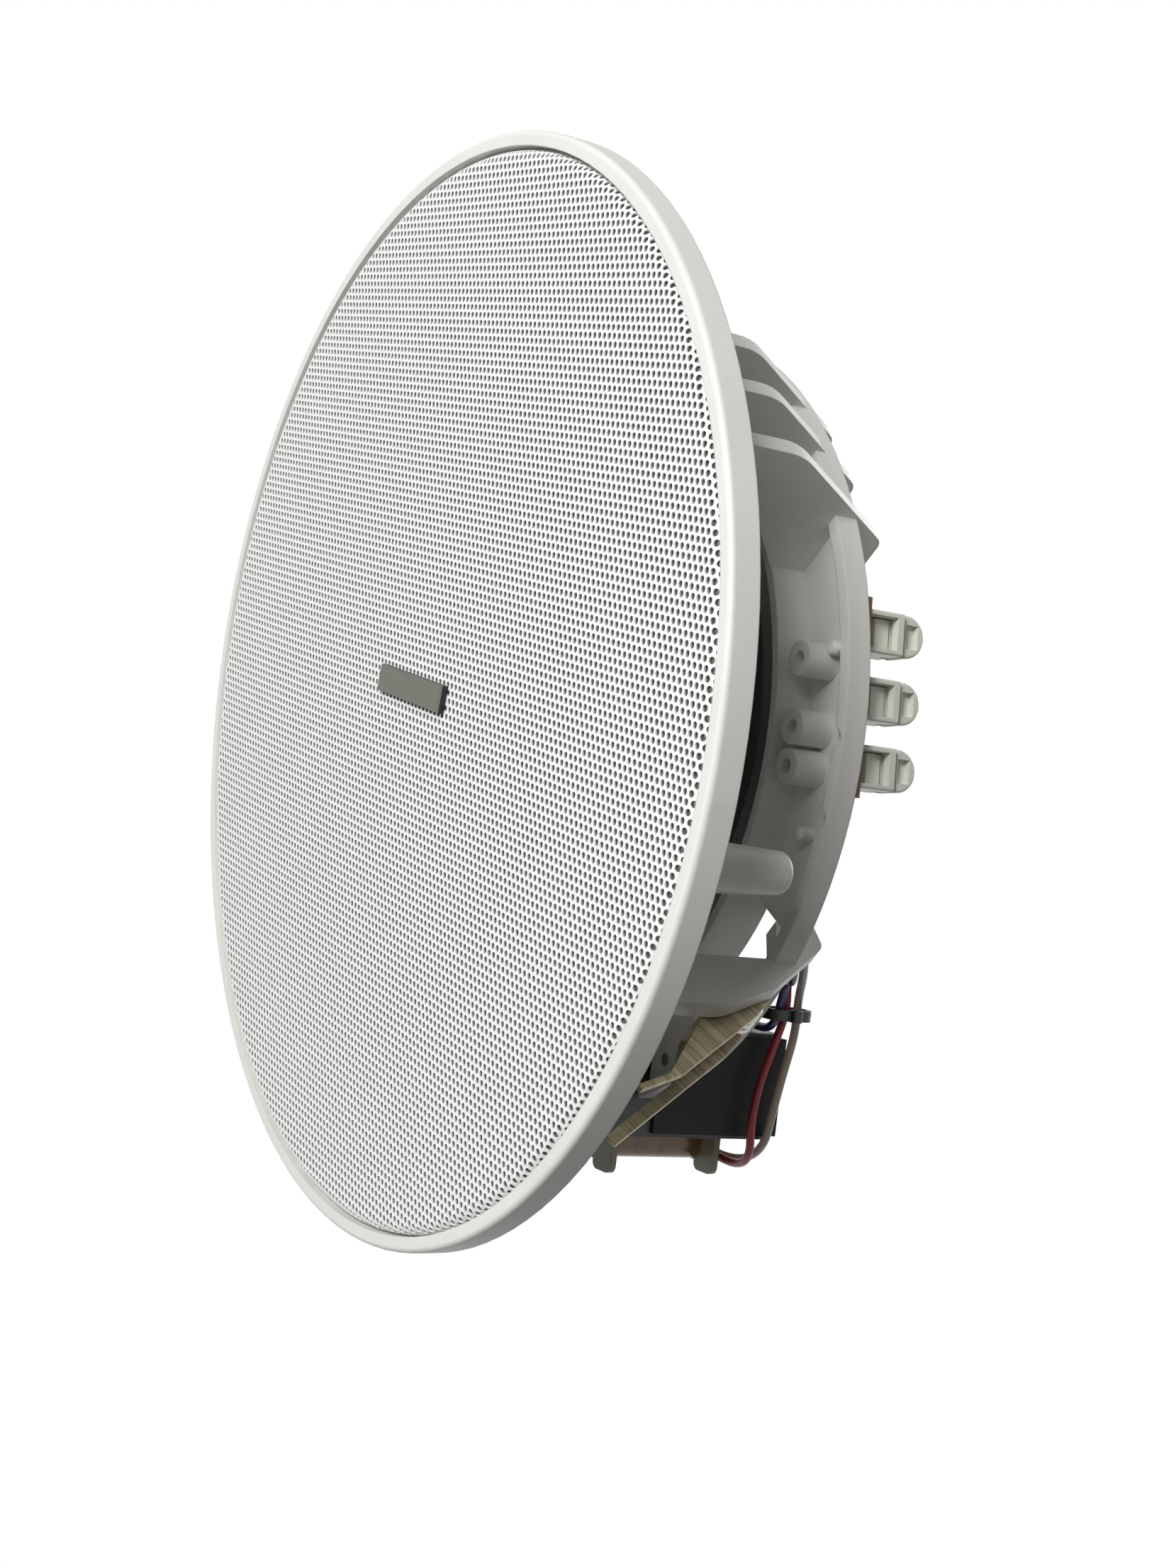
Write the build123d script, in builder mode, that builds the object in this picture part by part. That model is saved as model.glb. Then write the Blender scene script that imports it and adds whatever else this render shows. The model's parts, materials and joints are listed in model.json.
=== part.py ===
from build123d import *
from math import atan2, cos, radians, sin, sqrt, tan
import os

# In-ceiling loudspeaker: a moulded frame with finned legs carries a perforated grille, a cone
# driver, a line transformer, push terminals and two sprung ceiling clips.
# Millimetres. Z is the speaker's axis and points up into the ceiling void, so the grille faces
# down. The origin is on the axis at the front of the badge, the lowest point of the part.

# Badge and grille
badge_length = 33.0
badge_width = 6.2
badge_thick = 1.8
badge_chamfer = 0.4
grille_sheet = 0.9
grille_bend = 2.4
grille_gap = 0.5

# Rim, pan and baffle of the frame
rim_radius = 125.0
rim_wall = 3.4
rim_depth = 6.5
rim_round = 1.2
flange_thick = 2.5
spigot_radius = 112.0
spigot_wall = 2.5
baffle_depth = 14.0
baffle_thick = 2.5

# Rear ring of the frame: outer band, plate and inner collar
ring_radius = 91.5
ring_depth = 58.0
band_height = 5.5
band_wall = 3.0
plate_thick = 3.0
collar_radius = 75.3
collar_wall = 2.0
collar_depth = 46.5

# Legs: upright fins, parallel to each leg's radial line
plain_leg_azimuths = (-50.0, 130.0)
clip_leg_azimuths = (35.0, 215.0)
fin_offsets = (-13.2, 1.5, 18.6)
fin_thick = 4.0
fin_outer = 102.0
fin_base = 92.0
fin_knee_radius = 84.5
fin_knee_depth = 35.2
fin_shoulder_depth = 36.3
fin_shoulder_round = 14.0
fin_tip_radius = 84.3
fin_rise = 9.8
fin_tip_round = 3.0
web_thick = 2.5
clip_fin_offset = -14.1
clip_fin_thick = 4.2
clip_fin_inner = 88.8
clip_fin_top = 78.0

# Small features moulded on the frame
post_radius = 102.5
post_azimuth = 9.0
post_diameter = 11.0
post_draft = 2.7
post_depth = 37.0
post_round = 1.8
post_bore = 5.0
boss_places = ((82.0, -17.7), (81.0, -7.8), (81.0, -2.0))
boss_diameter = 7.5
boss_bore = 3.0
boss_height = 8.0
pin_places = ((87.0, -19.0), (84.0, 7.2))
pin_diameter = 3.2
pin_height = 4.0
dimple_azimuths = (-6.8, 4.2)
dimple_radius = 2.2
opening_start = -13.5
opening_angle = 25.5

# Ceiling clips
clip_pivot_depth = 49.7
clip_pivot_reach = 2.5
clip_angle = -56.6
clip_width = 14.4
clip_sheet = 1.2
clip_length = 48.5
clip_eye_radius = 2.9
clip_web_start = 7.0
clip_web_end = 13.0
clip_blade_start = 6.0
clip_blade_rise = 3.7
clip_broad_start = 24.0
clip_broad_width = 2.6
clip_neck = 37.5
clip_neck_width = 1.8
clip_neck_run = 2.5
clip_prong = 46.5
clip_prong_width = 1.4
clip_pin_diameter = 3.0
clip_pin_head = 5.4
clip_pin_head_thick = 1.0
running_clearance = 0.05
ear_thick = 3.0
ear_radius = 2.6
ear_gap = 0.4
spring_wire = 1.2
spring_coil_diameter = 5.4
spring_turns = 4
spring_pitch = 1.6
spring_seat = 0.2
spring_arm_leg = 13.0

# Driver
driver_gasket_thick = 0.8
driver_radius = 82.5
basket_sheet = 1.2
basket_radius = 71.3
basket_clearance = 1.2
basket_shoulder = 6.0
basket_ledge_depth = 27.0
basket_ledge_radius = 46.0
basket_cup_radius = 37.0
basket_depth = 36.0
basket_windows = 6
basket_window_angle = 38.0
cone_sheet = 0.8
cone_radius = 58.0
cone_neck_depth = 20.0
coil_radius = 13.0
former_sheet = 0.3
winding_thick = 0.6
winding_length = 12.0
roll_radius = 4.5
roll_sheet = 0.8
roll_land = 2.5
spider_sheet = 0.5
spider_waves = 4
spider_wave_height = 1.2
cap_radius = 19.0
cap_rise = 7.0
magnet_radius = 60.0
magnet_thick = 15.0
magnet_bore = 18.0
magnet_chamfer = 1.0
pole_plate_radius = 56.0
pole_plate_thick = 6.0
pole_plate_chamfer = 1.5
pole_gap = 0.6
driver_screw_pcd = 156.0
driver_screws_count = 4
driver_screw_azimuth = 45.0
tag_board_azimuth = 105.0
tag_board_length = 15.0
tag_board_depth = 8.5
tag_clearance = 0.4
tag_radius = 43.5
tag_pitch = 8.0
tag_width = 3.0
tag_height = 6.0

# Push terminals
terminal_azimuth = -12.8
terminal_pitch = 14.1
terminal_width = 9.0
terminal_depth = 9.0
terminal_height = 9.2
terminal_wall = 1.1
terminal_face = 88.0
terminal_round = 0.6
terminal_bar_depth = 2.0
terminal_bar_height = 1.6
board_thick = 1.6
board_inner = 74.6
board_margin = 2.2
board_overlap = 0.5
board_screw_head = 4.6
lever_clearance = 0.3
lever_reach = 6.2
lever_lift = 0.8
lever_back = 81.5
lever_block_bottom = 3.6
lever_block_face = 85.2
lever_neck_face = 84.9
lever_tab_back = 81.0
lever_tab_thick = 6.0
lever_round = 0.6
lever_recess_length = 3.0
lever_recess_width = 5.0
lever_recess_depth = 1.6
trunnion_diameter = 1.6
trunnion_setback = 2.9
trunnion_height = 8.2
contact_sheet = 0.6
tail_width = 2.6

# Line transformer
transformer_azimuth = 82.5
motor_clearance = 2.4
core_width = 60.0
core_length = 50.0
core_stack = 25.0
core_limb = 10.0
core_depth = 41.4
core_clearance = 0.2
bobbin_wall = 1.2
bobbin_overhang = 7.6
bobbin_cheek_width = 50.0
bobbin_lug = 2.2
bobbin_lug_width = 8.0
bobbin_flange_thick = 1.5
winding_inset = 0.6
winding_round = 3.0
strap_margin = 1.0
strap_thick = 1.0
strap_foot = 12.0
pocket_clearance = 0.7
screw_diameter = 3.0
screw_head_diameter = 6.0
screw_head_height = 2.0

# Hook-up wire
wire_diameter = 2.0
lead_drop = 6.0
tie_line = 64.5
tie_centre = (34.6, 90.5)
tie_width = 5.6
tie_height = 9.8
tie_round = 2.2
tie_thick = 1.0
tie_band = 2.6
tie_lock = 2.8

# Heights worked out from the depths behind the grille's face
face = badge_thick
ceiling_plane = face + rim_depth
pan_floor = ceiling_plane - flange_thick
baffle_rear = face + baffle_depth
baffle_front = baffle_rear - baffle_thick
ring_rear = face + ring_depth
ring_front = ring_rear - band_height
plate_front = ring_rear - plate_thick
collar_front = face + collar_depth
lip_radius = rim_radius - rim_wall
pan_radius = spigot_radius - spigot_wall
collar_bore = collar_radius - collar_wall
collar_middle = (collar_bore + collar_radius) / 2
band_bore = ring_radius - band_wall
band_middle = (band_bore + ring_radius) / 2
baffle_bore = basket_radius + basket_clearance


def radial_plane(azimuth, offset=0.0):
    """Upright plane along a radial line, moved sideways: x runs outwards and y runs up."""
    a = radians(azimuth)
    origin = (-offset * sin(a), offset * cos(a), 0)
    return Plane(origin=origin, x_dir=(cos(a), sin(a), 0), z_dir=(sin(a), -cos(a), 0))


def level_plane(azimuth, height):
    """Level plane whose x axis runs outwards along the azimuth."""
    a = radians(azimuth)
    return Plane(origin=(0, 0, height), x_dir=(cos(a), sin(a), 0), z_dir=(0, 0, 1))


def place(azimuth, outwards, sideways, height):
    """Point given outwards along an azimuth, sideways from it and up."""
    a = radians(azimuth)
    return (outwards * cos(a) - sideways * sin(a), outwards * sin(a) + sideways * cos(a), height)


def save(piece, name):
    """Label a finished piece and write it as its own node."""
    piece.label = name
    export_step(piece, f"parts/{name}.step")


os.makedirs("parts", exist_ok=True)

# Frame: rim, pan and baffle, rear ring, finned legs, post, bosses and clip ears
tolerance = 0.01
fin_tip = ring_rear + fin_rise
fin_shoulder = face + fin_shoulder_depth
fin_knee = face + fin_knee_depth
post_top = face + post_depth
fin_lean = atan2(fin_outer - fin_tip_radius, fin_tip - fin_shoulder)
clip_pivot_radius = ring_radius + clip_pivot_reach
clip_pivot = face + clip_pivot_depth
fin_bend = (clip_pivot_radius + ear_radius * cos(fin_lean), clip_pivot + ear_radius * sin(fin_lean))
clip_offset = clip_fin_offset + clip_fin_thick / 2 + ear_gap + clip_width / 2
clip_pin_end = clip_fin_offset - clip_fin_thick / 4
ear_offset = clip_offset + clip_width / 2 + ear_gap + ear_thick / 2
ear_outside = ear_offset + ear_thick / 2
transformer_side = transformer_azimuth - 90
pocket_width = core_width + 2 * strap_thick + 2 * pocket_clearance
core_radius = magnet_radius + motor_clearance + bobbin_overhang + core_stack / 2
core_front = face + core_depth
core_rear = core_front + core_length
strap_foot_centre = core_width / 2 + strap_thick + strap_foot / 2
strap_foot_radius = core_radius - core_stack / 2 + strap_foot / 2
strap_feet = [(strap_foot_centre, strap_foot_radius), (-strap_foot_centre, strap_foot_radius)]

with BuildPart() as bezel_frame:
    # Rim with its lip, the pan behind the grille, the spigot and the baffle
    with BuildSketch(Plane.XZ) as rim_section:
        with BuildLine():
            Polyline(
                (baffle_bore, baffle_front), (pan_radius, baffle_front), (pan_radius, pan_floor),
                (lip_radius, pan_floor), (lip_radius, face), (rim_radius, face),
                (rim_radius, ceiling_plane), (spigot_radius, ceiling_plane),
                (spigot_radius, baffle_rear), (baffle_bore, baffle_rear), close=True,
            )
        make_face()
        fillet(rim_section.vertices().group_by(Axis.X)[-1].sort_by(Axis.Y)[0], rim_round)
    revolve(axis=Axis.Z)
    # Rear ring in section: collar, plate and outer band
    with BuildSketch(Plane.XZ):
        with BuildLine():
            Polyline(
                (collar_bore, collar_front), (collar_radius, collar_front),
                (collar_radius, plate_front), (band_bore, plate_front), (band_bore, ring_front),
                (ring_radius, ring_front), (ring_radius, ring_rear), (collar_bore, ring_rear),
                close=True,
            )
        make_face()
    revolve(axis=Axis.Z)
    # Openings through the plate beside each clip leg
    with BuildSketch(Plane.XY.offset(plate_front)):
        for azimuth in clip_leg_azimuths:
            with BuildLine():
                outer_arc = CenterArc((0, 0), band_bore, azimuth + opening_start, opening_angle)
                inner_arc = CenterArc((0, 0), collar_radius, azimuth + opening_start, opening_angle)
                Line(outer_arc @ 0, inner_arc @ 0)
                Line(outer_arc @ 1, inner_arc @ 1)
            make_face()
    extrude(amount=plate_thick, mode=Mode.SUBTRACT)
    # Gap in the ring that lets the transformer through
    with BuildSketch(level_plane(transformer_side, collar_front)):
        with Locations((0, ring_radius)):
            Rectangle(pocket_width, ring_radius)
    extrude(amount=ring_rear - collar_front, mode=Mode.SUBTRACT)
    # Three fins and a sloping web on each plain leg
    for azimuth in plain_leg_azimuths:
        for offset in fin_offsets:
            fin_inner = sqrt(collar_middle**2 - offset**2)
            with BuildSketch(radial_plane(azimuth, offset)) as fin:
                with BuildLine():
                    Polyline(
                        (fin_base, baffle_front), (fin_outer, baffle_front), (fin_outer, fin_shoulder),
                        (fin_tip_radius, fin_tip), (collar_radius, fin_tip), (fin_inner, ring_rear),
                        (fin_inner, collar_front), (fin_knee_radius, fin_knee), close=True,
                    )
                make_face()
                shoulder = fin.vertices().group_by(Axis.X)[-1].sort_by(Axis.Y)[-1]
                fillet(shoulder, fin_shoulder_round)
                fillet(fin.vertices().group_by(Axis.Y)[-1].sort_by(Axis.X)[-1], fin_tip_round)
            extrude(amount=fin_thick / 2, both=True)
        with BuildSketch(radial_plane(azimuth, (fin_offsets[0] + fin_offsets[-1]) / 2)):
            with BuildLine():
                Polyline(
                    (fin_base, baffle_front), (fin_base + web_thick, baffle_front),
                    (fin_knee_radius + web_thick, fin_knee + web_thick / 2),
                    (collar_middle + web_thick, collar_front + web_thick),
                    (collar_middle, collar_front), (fin_knee_radius, fin_knee), close=True,
                )
            make_face()
        extrude(amount=(fin_offsets[-1] - fin_offsets[0]) / 2, both=True)
    # One narrow fin on each clip leg, whose sloping edge bends out round the end of the clip's pin
    for azimuth in clip_leg_azimuths:
        with BuildSketch(radial_plane(azimuth, clip_fin_offset)) as fin:
            with BuildLine():
                Polyline(
                    (clip_fin_inner, baffle_front), (fin_outer, baffle_front), (fin_outer, fin_shoulder),
                    fin_bend, (fin_tip_radius, fin_tip), (clip_fin_top, fin_tip),
                    (clip_fin_top, ring_rear), (band_bore - band_wall, plate_front),
                    (clip_fin_inner, ring_front), close=True,
                )
            make_face()
            shoulder = fin.vertices().group_by(Axis.X)[-1].sort_by(Axis.Y)[-1]
            fillet(shoulder, fin_shoulder_round)
            fillet(fin.vertices().group_by(Axis.Y)[-1].sort_by(Axis.X)[-1], fin_tip_round)
        extrude(amount=clip_fin_thick / 2, both=True)
    # An ear on the band opposite each clip leg's fin: the two of them hold the clip's pin
    for azimuth in clip_leg_azimuths:
        with BuildSketch(radial_plane(azimuth, ear_offset)):
            with BuildLine():
                Polyline(
                    (band_middle, ring_rear - band_height / 4), (clip_pivot_radius + ear_radius, clip_pivot),
                    (clip_pivot_radius - ear_radius, clip_pivot), (band_middle, ring_front + band_height / 4),
                    close=True,
                )
            make_face()
            with Locations((clip_pivot_radius, clip_pivot)):
                Circle(ear_radius)
        extrude(amount=ear_thick / 2, both=True)
        with BuildSketch(radial_plane(azimuth, ear_outside)):
            with Locations((clip_pivot_radius, clip_pivot)):
                Circle(clip_pin_diameter / 2)
        extrude(amount=ear_outside - clip_pin_end, mode=Mode.SUBTRACT)
    # Closed round posts behind the baffle, cored from the front
    with BuildSketch(Plane.XY.offset(baffle_front)):
        with PolarLocations(post_radius, 2, start_angle=post_azimuth):
            Circle(post_diameter / 2)
    extrude(amount=post_top - baffle_front, taper=post_draft)
    post_ends = bezel_frame.edges().filter_by(GeomType.CIRCLE)
    fillet(post_ends.filter_by_position(Axis.Z, post_top - tolerance, post_top + tolerance), post_round)
    with BuildSketch(Plane.XY.offset(baffle_front)):
        with PolarLocations(post_radius, 2, start_angle=post_azimuth):
            Circle(post_bore / 2)
    extrude(amount=post_top - baffle_front - post_round, mode=Mode.SUBTRACT)
    # Screw bosses and locating pins on the front of the plate
    with BuildSketch(Plane.XY.offset(plate_front)):
        for radius, azimuth in boss_places:
            with Locations(place(azimuth, radius, 0, 0)):
                Circle(boss_diameter / 2)
    extrude(amount=-boss_height)
    with BuildSketch(Plane.XY.offset(plate_front - boss_height)):
        for radius, azimuth in boss_places:
            with Locations(place(azimuth, radius, 0, 0)):
                Circle(boss_bore / 2)
    extrude(amount=boss_height + plate_thick, mode=Mode.SUBTRACT)
    with BuildSketch(Plane.XY.offset(plate_front)):
        for radius, azimuth in pin_places:
            with Locations(place(azimuth, radius, 0, 0)):
                Circle(pin_diameter / 2)
    extrude(amount=-pin_height)
    pin_tip = plate_front - pin_height
    pin_ends = bezel_frame.faces().filter_by(Axis.Z)
    pin_ends = pin_ends.filter_by_position(Axis.Z, pin_tip - tolerance, pin_tip + tolerance)
    fillet(pin_ends.edges(), pin_diameter / 3)
    # Half-round dimples inside the outer band
    with BuildSketch(Plane.XY.offset(ring_front)):
        for azimuth in dimple_azimuths:
            with Locations(place(azimuth, band_bore, 0, 0)):
                Circle(dimple_radius)
    extrude(amount=plate_front - ring_front, mode=Mode.SUBTRACT)
    # Pilot holes for the transformer's screws
    with BuildSketch(level_plane(transformer_side, ring_rear)):
        with Locations(*strap_feet):
            Circle(screw_diameter / 2)
    extrude(amount=-plate_thick, mode=Mode.SUBTRACT)
    # Pilot holes for the driver's screws
    with BuildSketch(Plane.XY.offset(baffle_front)):
        with PolarLocations(driver_screw_pcd / 2, driver_screws_count, start_angle=driver_screw_azimuth):
            Circle(screw_diameter / 2)
    extrude(amount=baffle_thick, mode=Mode.SUBTRACT)
save(bezel_frame.part, "bezel_frame")

# Grille: a steel disc with a rolled edge, its skirt standing on the pan's floor inside the lip
grille_radius = lip_radius - grille_gap
with BuildPart() as grille:
    with BuildSketch(Plane.XZ) as grille_section:
        with BuildLine():
            Polyline(
                (0, face), (grille_radius, face), (grille_radius, pan_floor),
                (grille_radius - grille_sheet, pan_floor),
                (grille_radius - grille_sheet, face + grille_sheet), (0, face + grille_sheet),
                close=True,
            )
        make_face()
        fillet(grille_section.vertices().group_by(Axis.X)[-1].sort_by(Axis.Y)[0], grille_bend)
        inner_bend = grille_section.vertices().filter_by_position(
            Axis.X, grille_radius - 1.1 * grille_sheet, grille_radius - 0.9 * grille_sheet
        )
        fillet(inner_bend.sort_by(Axis.Y)[0], grille_bend - grille_sheet)
    revolve(axis=Axis.Z)
save(grille.part, "grille")

# Badge: a bare plate with bevelled edges, lying on the grille's face
with BuildPart() as badge:
    with BuildSketch():
        Rectangle(badge_length, badge_width)
    extrude(amount=badge_thick)
    chamfer(badge.faces().sort_by(Axis.Z)[0].edges(), badge_chamfer)
save(badge.part, "badge")

# Driver, hung from the front of the baffle: gasket and pressed steel basket
basket_flange_rear = baffle_front - driver_gasket_thick
basket_flange_front = basket_flange_rear - basket_sheet
basket_ledge = basket_flange_rear + basket_ledge_depth
basket_rear = basket_flange_rear + basket_depth
former_bore = coil_radius - former_sheet
pole_radius = former_bore - pole_gap
gap_radius = coil_radius + winding_thick + pole_gap
roll_centre = cone_radius + roll_land + roll_radius
roll_outer = roll_centre + roll_radius + roll_land

with BuildPart() as driver_gasket:
    with BuildSketch(Plane.XY.offset(basket_flange_rear)):
        Circle(driver_radius)
        Circle(baffle_bore, mode=Mode.SUBTRACT)
        with PolarLocations(driver_screw_pcd / 2, driver_screws_count, start_angle=driver_screw_azimuth):
            Circle(screw_diameter / 2, mode=Mode.SUBTRACT)
    extrude(amount=driver_gasket_thick)
save(driver_gasket.part, "driver_gasket")

with BuildPart() as basket:
    with BuildSketch(Plane.XZ):
        with BuildLine() as basket_line:
            Polyline(
                (driver_radius, basket_flange_front), (basket_radius - basket_sheet, basket_flange_front),
                (basket_radius - basket_sheet, basket_flange_rear + basket_shoulder),
                (basket_ledge_radius, basket_ledge - basket_sheet),
                (basket_cup_radius - basket_sheet, basket_ledge - basket_sheet),
                (basket_cup_radius - basket_sheet, basket_rear - basket_sheet),
                (gap_radius, basket_rear - basket_sheet), (gap_radius, basket_rear),
                (basket_cup_radius, basket_rear), (basket_cup_radius, basket_ledge),
                (basket_ledge_radius + basket_sheet, basket_ledge),
                (basket_radius, basket_flange_rear + basket_shoulder + basket_sheet),
                (basket_radius, basket_flange_rear), (driver_radius, basket_flange_rear), close=True,
            )
        make_face()
    revolve(axis=Axis.Z)
    # Windows between the basket's spokes
    with BuildSketch(Plane.XY.offset(basket_flange_rear + basket_shoulder)):
        for window in range(basket_windows):
            start = window * 360 / basket_windows - basket_window_angle / 2
            with BuildLine():
                outer_arc = CenterArc((0, 0), basket_radius + basket_sheet, start, basket_window_angle)
                inner_arc = CenterArc((0, 0), basket_ledge_radius + 2 * basket_sheet, start, basket_window_angle)
                Line(outer_arc @ 0, inner_arc @ 0)
                Line(outer_arc @ 1, inner_arc @ 1)
            make_face()
    extrude(amount=basket_ledge - basket_flange_rear - basket_shoulder, mode=Mode.SUBTRACT)
    with BuildSketch(Plane.XY.offset(basket_flange_front)):
        with PolarLocations(driver_screw_pcd / 2, driver_screws_count, start_angle=driver_screw_azimuth):
            Circle(screw_diameter / 2)
    extrude(amount=basket_sheet, mode=Mode.SUBTRACT)
save(basket.part, "basket")

# Surround: a rubber half roll between the basket's flange and the cone
roll_rear = basket_flange_front
inner_land = (cone_radius + roll_centre - roll_radius + roll_sheet) / 2
outer_land = (roll_outer + roll_centre + roll_radius - roll_sheet) / 2
with BuildPart() as surround:
    with BuildSketch(Plane.XZ):
        with Locations((roll_centre, roll_rear)):
            Circle(roll_radius)
            Circle(roll_radius - roll_sheet, mode=Mode.SUBTRACT)
        with Locations((roll_centre, roll_rear + roll_radius)):
            Rectangle(3 * roll_radius, 2 * roll_radius, mode=Mode.SUBTRACT)
        with Locations((inner_land, roll_rear - roll_sheet / 2), (outer_land, roll_rear - roll_sheet / 2)):
            Rectangle(roll_land + roll_sheet, roll_sheet)
    revolve(axis=Axis.Z)
save(surround.part, "surround")

# Cone, glued behind the surround's inner land and to the voice coil former
cone_edge_outer = cone_radius + roll_land
cone_front = roll_rear
cone_neck = cone_front + cone_neck_depth
with BuildPart() as cone:
    with BuildSketch(Plane.XZ):
        with BuildLine():
            Polyline(
                (cone_edge_outer, cone_front), (cone_radius, cone_front),
                (coil_radius, cone_neck), (coil_radius, cone_neck + 2 * cone_sheet),
                (coil_radius + cone_sheet, cone_neck + 2 * cone_sheet),
                (cone_radius, cone_front + cone_sheet), (cone_edge_outer, cone_front + cone_sheet),
                close=True,
            )
        make_face()
    revolve(axis=Axis.Z)
save(cone.part, "cone")

# Dust cap: a shallow dome over the cone's neck
cap_seat = cone_neck - (cap_radius - coil_radius) * cone_neck_depth / (cone_radius - coil_radius)
cap_top = cap_seat - cap_rise
with BuildPart() as dust_cap:
    with BuildSketch(Plane.XZ):
        with BuildLine():
            outside = ThreePointArc(
                (-cap_radius, cap_seat - cone_sheet), (0, cap_top), (cap_radius, cap_seat - cone_sheet)
            )
            inside = ThreePointArc((-cap_radius, cap_seat), (0, cap_top + cone_sheet), (cap_radius, cap_seat))
            Line(outside @ 0, inside @ 0)
            Line(outside @ 1, inside @ 1)
        make_face()
        with Locations((-cap_radius, cap_seat)):
            Rectangle(2 * cap_radius, 4 * cap_rise, mode=Mode.SUBTRACT)
    revolve(axis=Axis.Z)
save(dust_cap.part, "dust_cap")

# Magnet system behind the basket: top plate, ferrite ring, back plate with its pole
magnet_front = basket_rear + pole_plate_thick
magnet_rear = magnet_front + magnet_thick
with BuildPart() as top_plate:
    with BuildSketch(Plane.XY.offset(basket_rear)):
        Circle(pole_plate_radius)
        Circle(gap_radius, mode=Mode.SUBTRACT)
    extrude(amount=pole_plate_thick)
save(top_plate.part, "top_plate")

with BuildPart() as magnet:
    with BuildSketch(Plane.XY.offset(magnet_front)):
        Circle(magnet_radius)
        Circle(magnet_bore, mode=Mode.SUBTRACT)
    extrude(amount=magnet_thick)
    chamfer(magnet.edges().filter_by(GeomType.CIRCLE).group_by(SortBy.RADIUS)[-1], magnet_chamfer)
save(magnet.part, "magnet")

with BuildPart() as back_plate:
    with BuildSketch(Plane.XY.offset(magnet_rear)):
        Circle(pole_plate_radius)
    extrude(amount=pole_plate_thick)
    chamfer(back_plate.faces().sort_by(Axis.Z)[-1].edges(), pole_plate_chamfer)
    with BuildSketch(Plane.XY.offset(basket_rear)):
        Circle(pole_radius)
    extrude(amount=magnet_rear - basket_rear)
save(back_plate.part, "back_plate")

# Voice coil: a thin former from the cone's neck into the gap, with its winding at the top plate
former_rear = magnet_front + winding_length / 2
with BuildPart() as voice_coil_former:
    with BuildSketch(Plane.XY.offset(cone_neck)):
        Circle(coil_radius)
        Circle(former_bore, mode=Mode.SUBTRACT)
    extrude(amount=former_rear - cone_neck)
save(voice_coil_former.part, "voice_coil_former")

winding_front = basket_rear + pole_plate_thick / 2 - winding_length / 2
with BuildPart() as voice_coil_winding:
    with BuildSketch(Plane.XY.offset(winding_front)):
        Circle(coil_radius + winding_thick)
        Circle(coil_radius, mode=Mode.SUBTRACT)
    extrude(amount=winding_length)
save(voice_coil_winding.part, "voice_coil_winding")

# Spider: a corrugated cloth disc from the former to the basket's ledge
spider_outer = basket_ledge_radius - basket_sheet
spider_rear = basket_ledge - basket_sheet
spider_step = (spider_outer - coil_radius) / (2 * spider_waves + 1)
with BuildPart() as spider:
    with BuildSketch(Plane.XZ):
        front_side = []
        for step in range(2 * spider_waves + 2):
            lift = spider_wave_height if step % 2 else 0
            front_side.append((coil_radius + step * spider_step, spider_rear - spider_sheet - lift))
        front_side[-1] = (spider_outer, spider_rear - spider_sheet)
        rear_side = [(radius, height + spider_sheet) for radius, height in reversed(front_side)]
        with BuildLine():
            Polyline(*front_side, *rear_side, close=True)
        make_face()
    revolve(axis=Axis.Z)
save(spider.part, "spider")

# Driver screws, heads on the basket's flange
with BuildPart() as driver_screws:
    with BuildSketch(Plane.XY.offset(basket_flange_front)):
        with PolarLocations(driver_screw_pcd / 2, driver_screws_count, start_angle=driver_screw_azimuth):
            Circle(screw_head_diameter / 2)
    extrude(amount=-screw_head_height)
    fillet(driver_screws.faces().group_by(Axis.Z)[0].edges(), screw_head_height / 3)
    with BuildSketch(Plane.XY.offset(basket_flange_front)):
        with PolarLocations(driver_screw_pcd / 2, driver_screws_count, start_angle=driver_screw_azimuth):
            Circle(screw_diameter / 2)
    extrude(amount=baffle_rear - basket_flange_front)
save(driver_screws.part, "driver_screws")

# Tag board on the basket's ledge, with two solder tags
tag_seat = level_plane(tag_board_azimuth, basket_ledge)
with BuildPart() as tag_board:
    with BuildSketch(tag_seat):
        with Locations((basket_cup_radius + tag_board_depth / 2 + tag_clearance, 0)):
            Rectangle(tag_board_depth, tag_board_length)
    extrude(amount=board_thick)
    with BuildSketch(tag_seat.offset(board_thick)):
        with Locations((tag_radius, tag_pitch / 2), (tag_radius, -tag_pitch / 2)):
            Rectangle(contact_sheet, tag_width)
    extrude(amount=tag_height)
save(tag_board.part, "tag_board")

# Terminal board behind the ring's plate, held by two screws in the bosses
board_top = ring_rear + board_thick
board_seat = level_plane(terminal_azimuth, ring_rear)
board_outer = terminal_face + board_overlap
board_length = 2 * terminal_pitch + terminal_width + 2 * board_margin
board_screw_places = [place(azimuth, radius, 0, 0) for radius, azimuth in boss_places[:2]]
with BuildPart() as terminal_board:
    with BuildSketch(board_seat):
        with Locations(((board_inner + board_outer) / 2, 0)):
            Rectangle(board_outer - board_inner, board_length)
    extrude(amount=board_thick)
    with BuildSketch(Plane.XY.offset(ring_rear)):
        with Locations(*board_screw_places):
            Circle(boss_bore / 2)
    extrude(amount=board_thick, mode=Mode.SUBTRACT)
save(terminal_board.part, "terminal_board")

with BuildPart() as board_screws:
    with BuildSketch(Plane.XY.offset(board_top)):
        with Locations(*board_screw_places):
            Circle(board_screw_head / 2)
    extrude(amount=screw_head_height)
    fillet(board_screws.faces().group_by(Axis.Z)[-1].edges(), screw_head_height / 3)
    with BuildSketch(Plane.XY.offset(board_top)):
        with Locations(*board_screw_places):
            Circle(boss_bore / 2)
    extrude(amount=-(board_thick + plate_thick + boss_height / 2))
save(board_screws.part, "board_screws")

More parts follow.
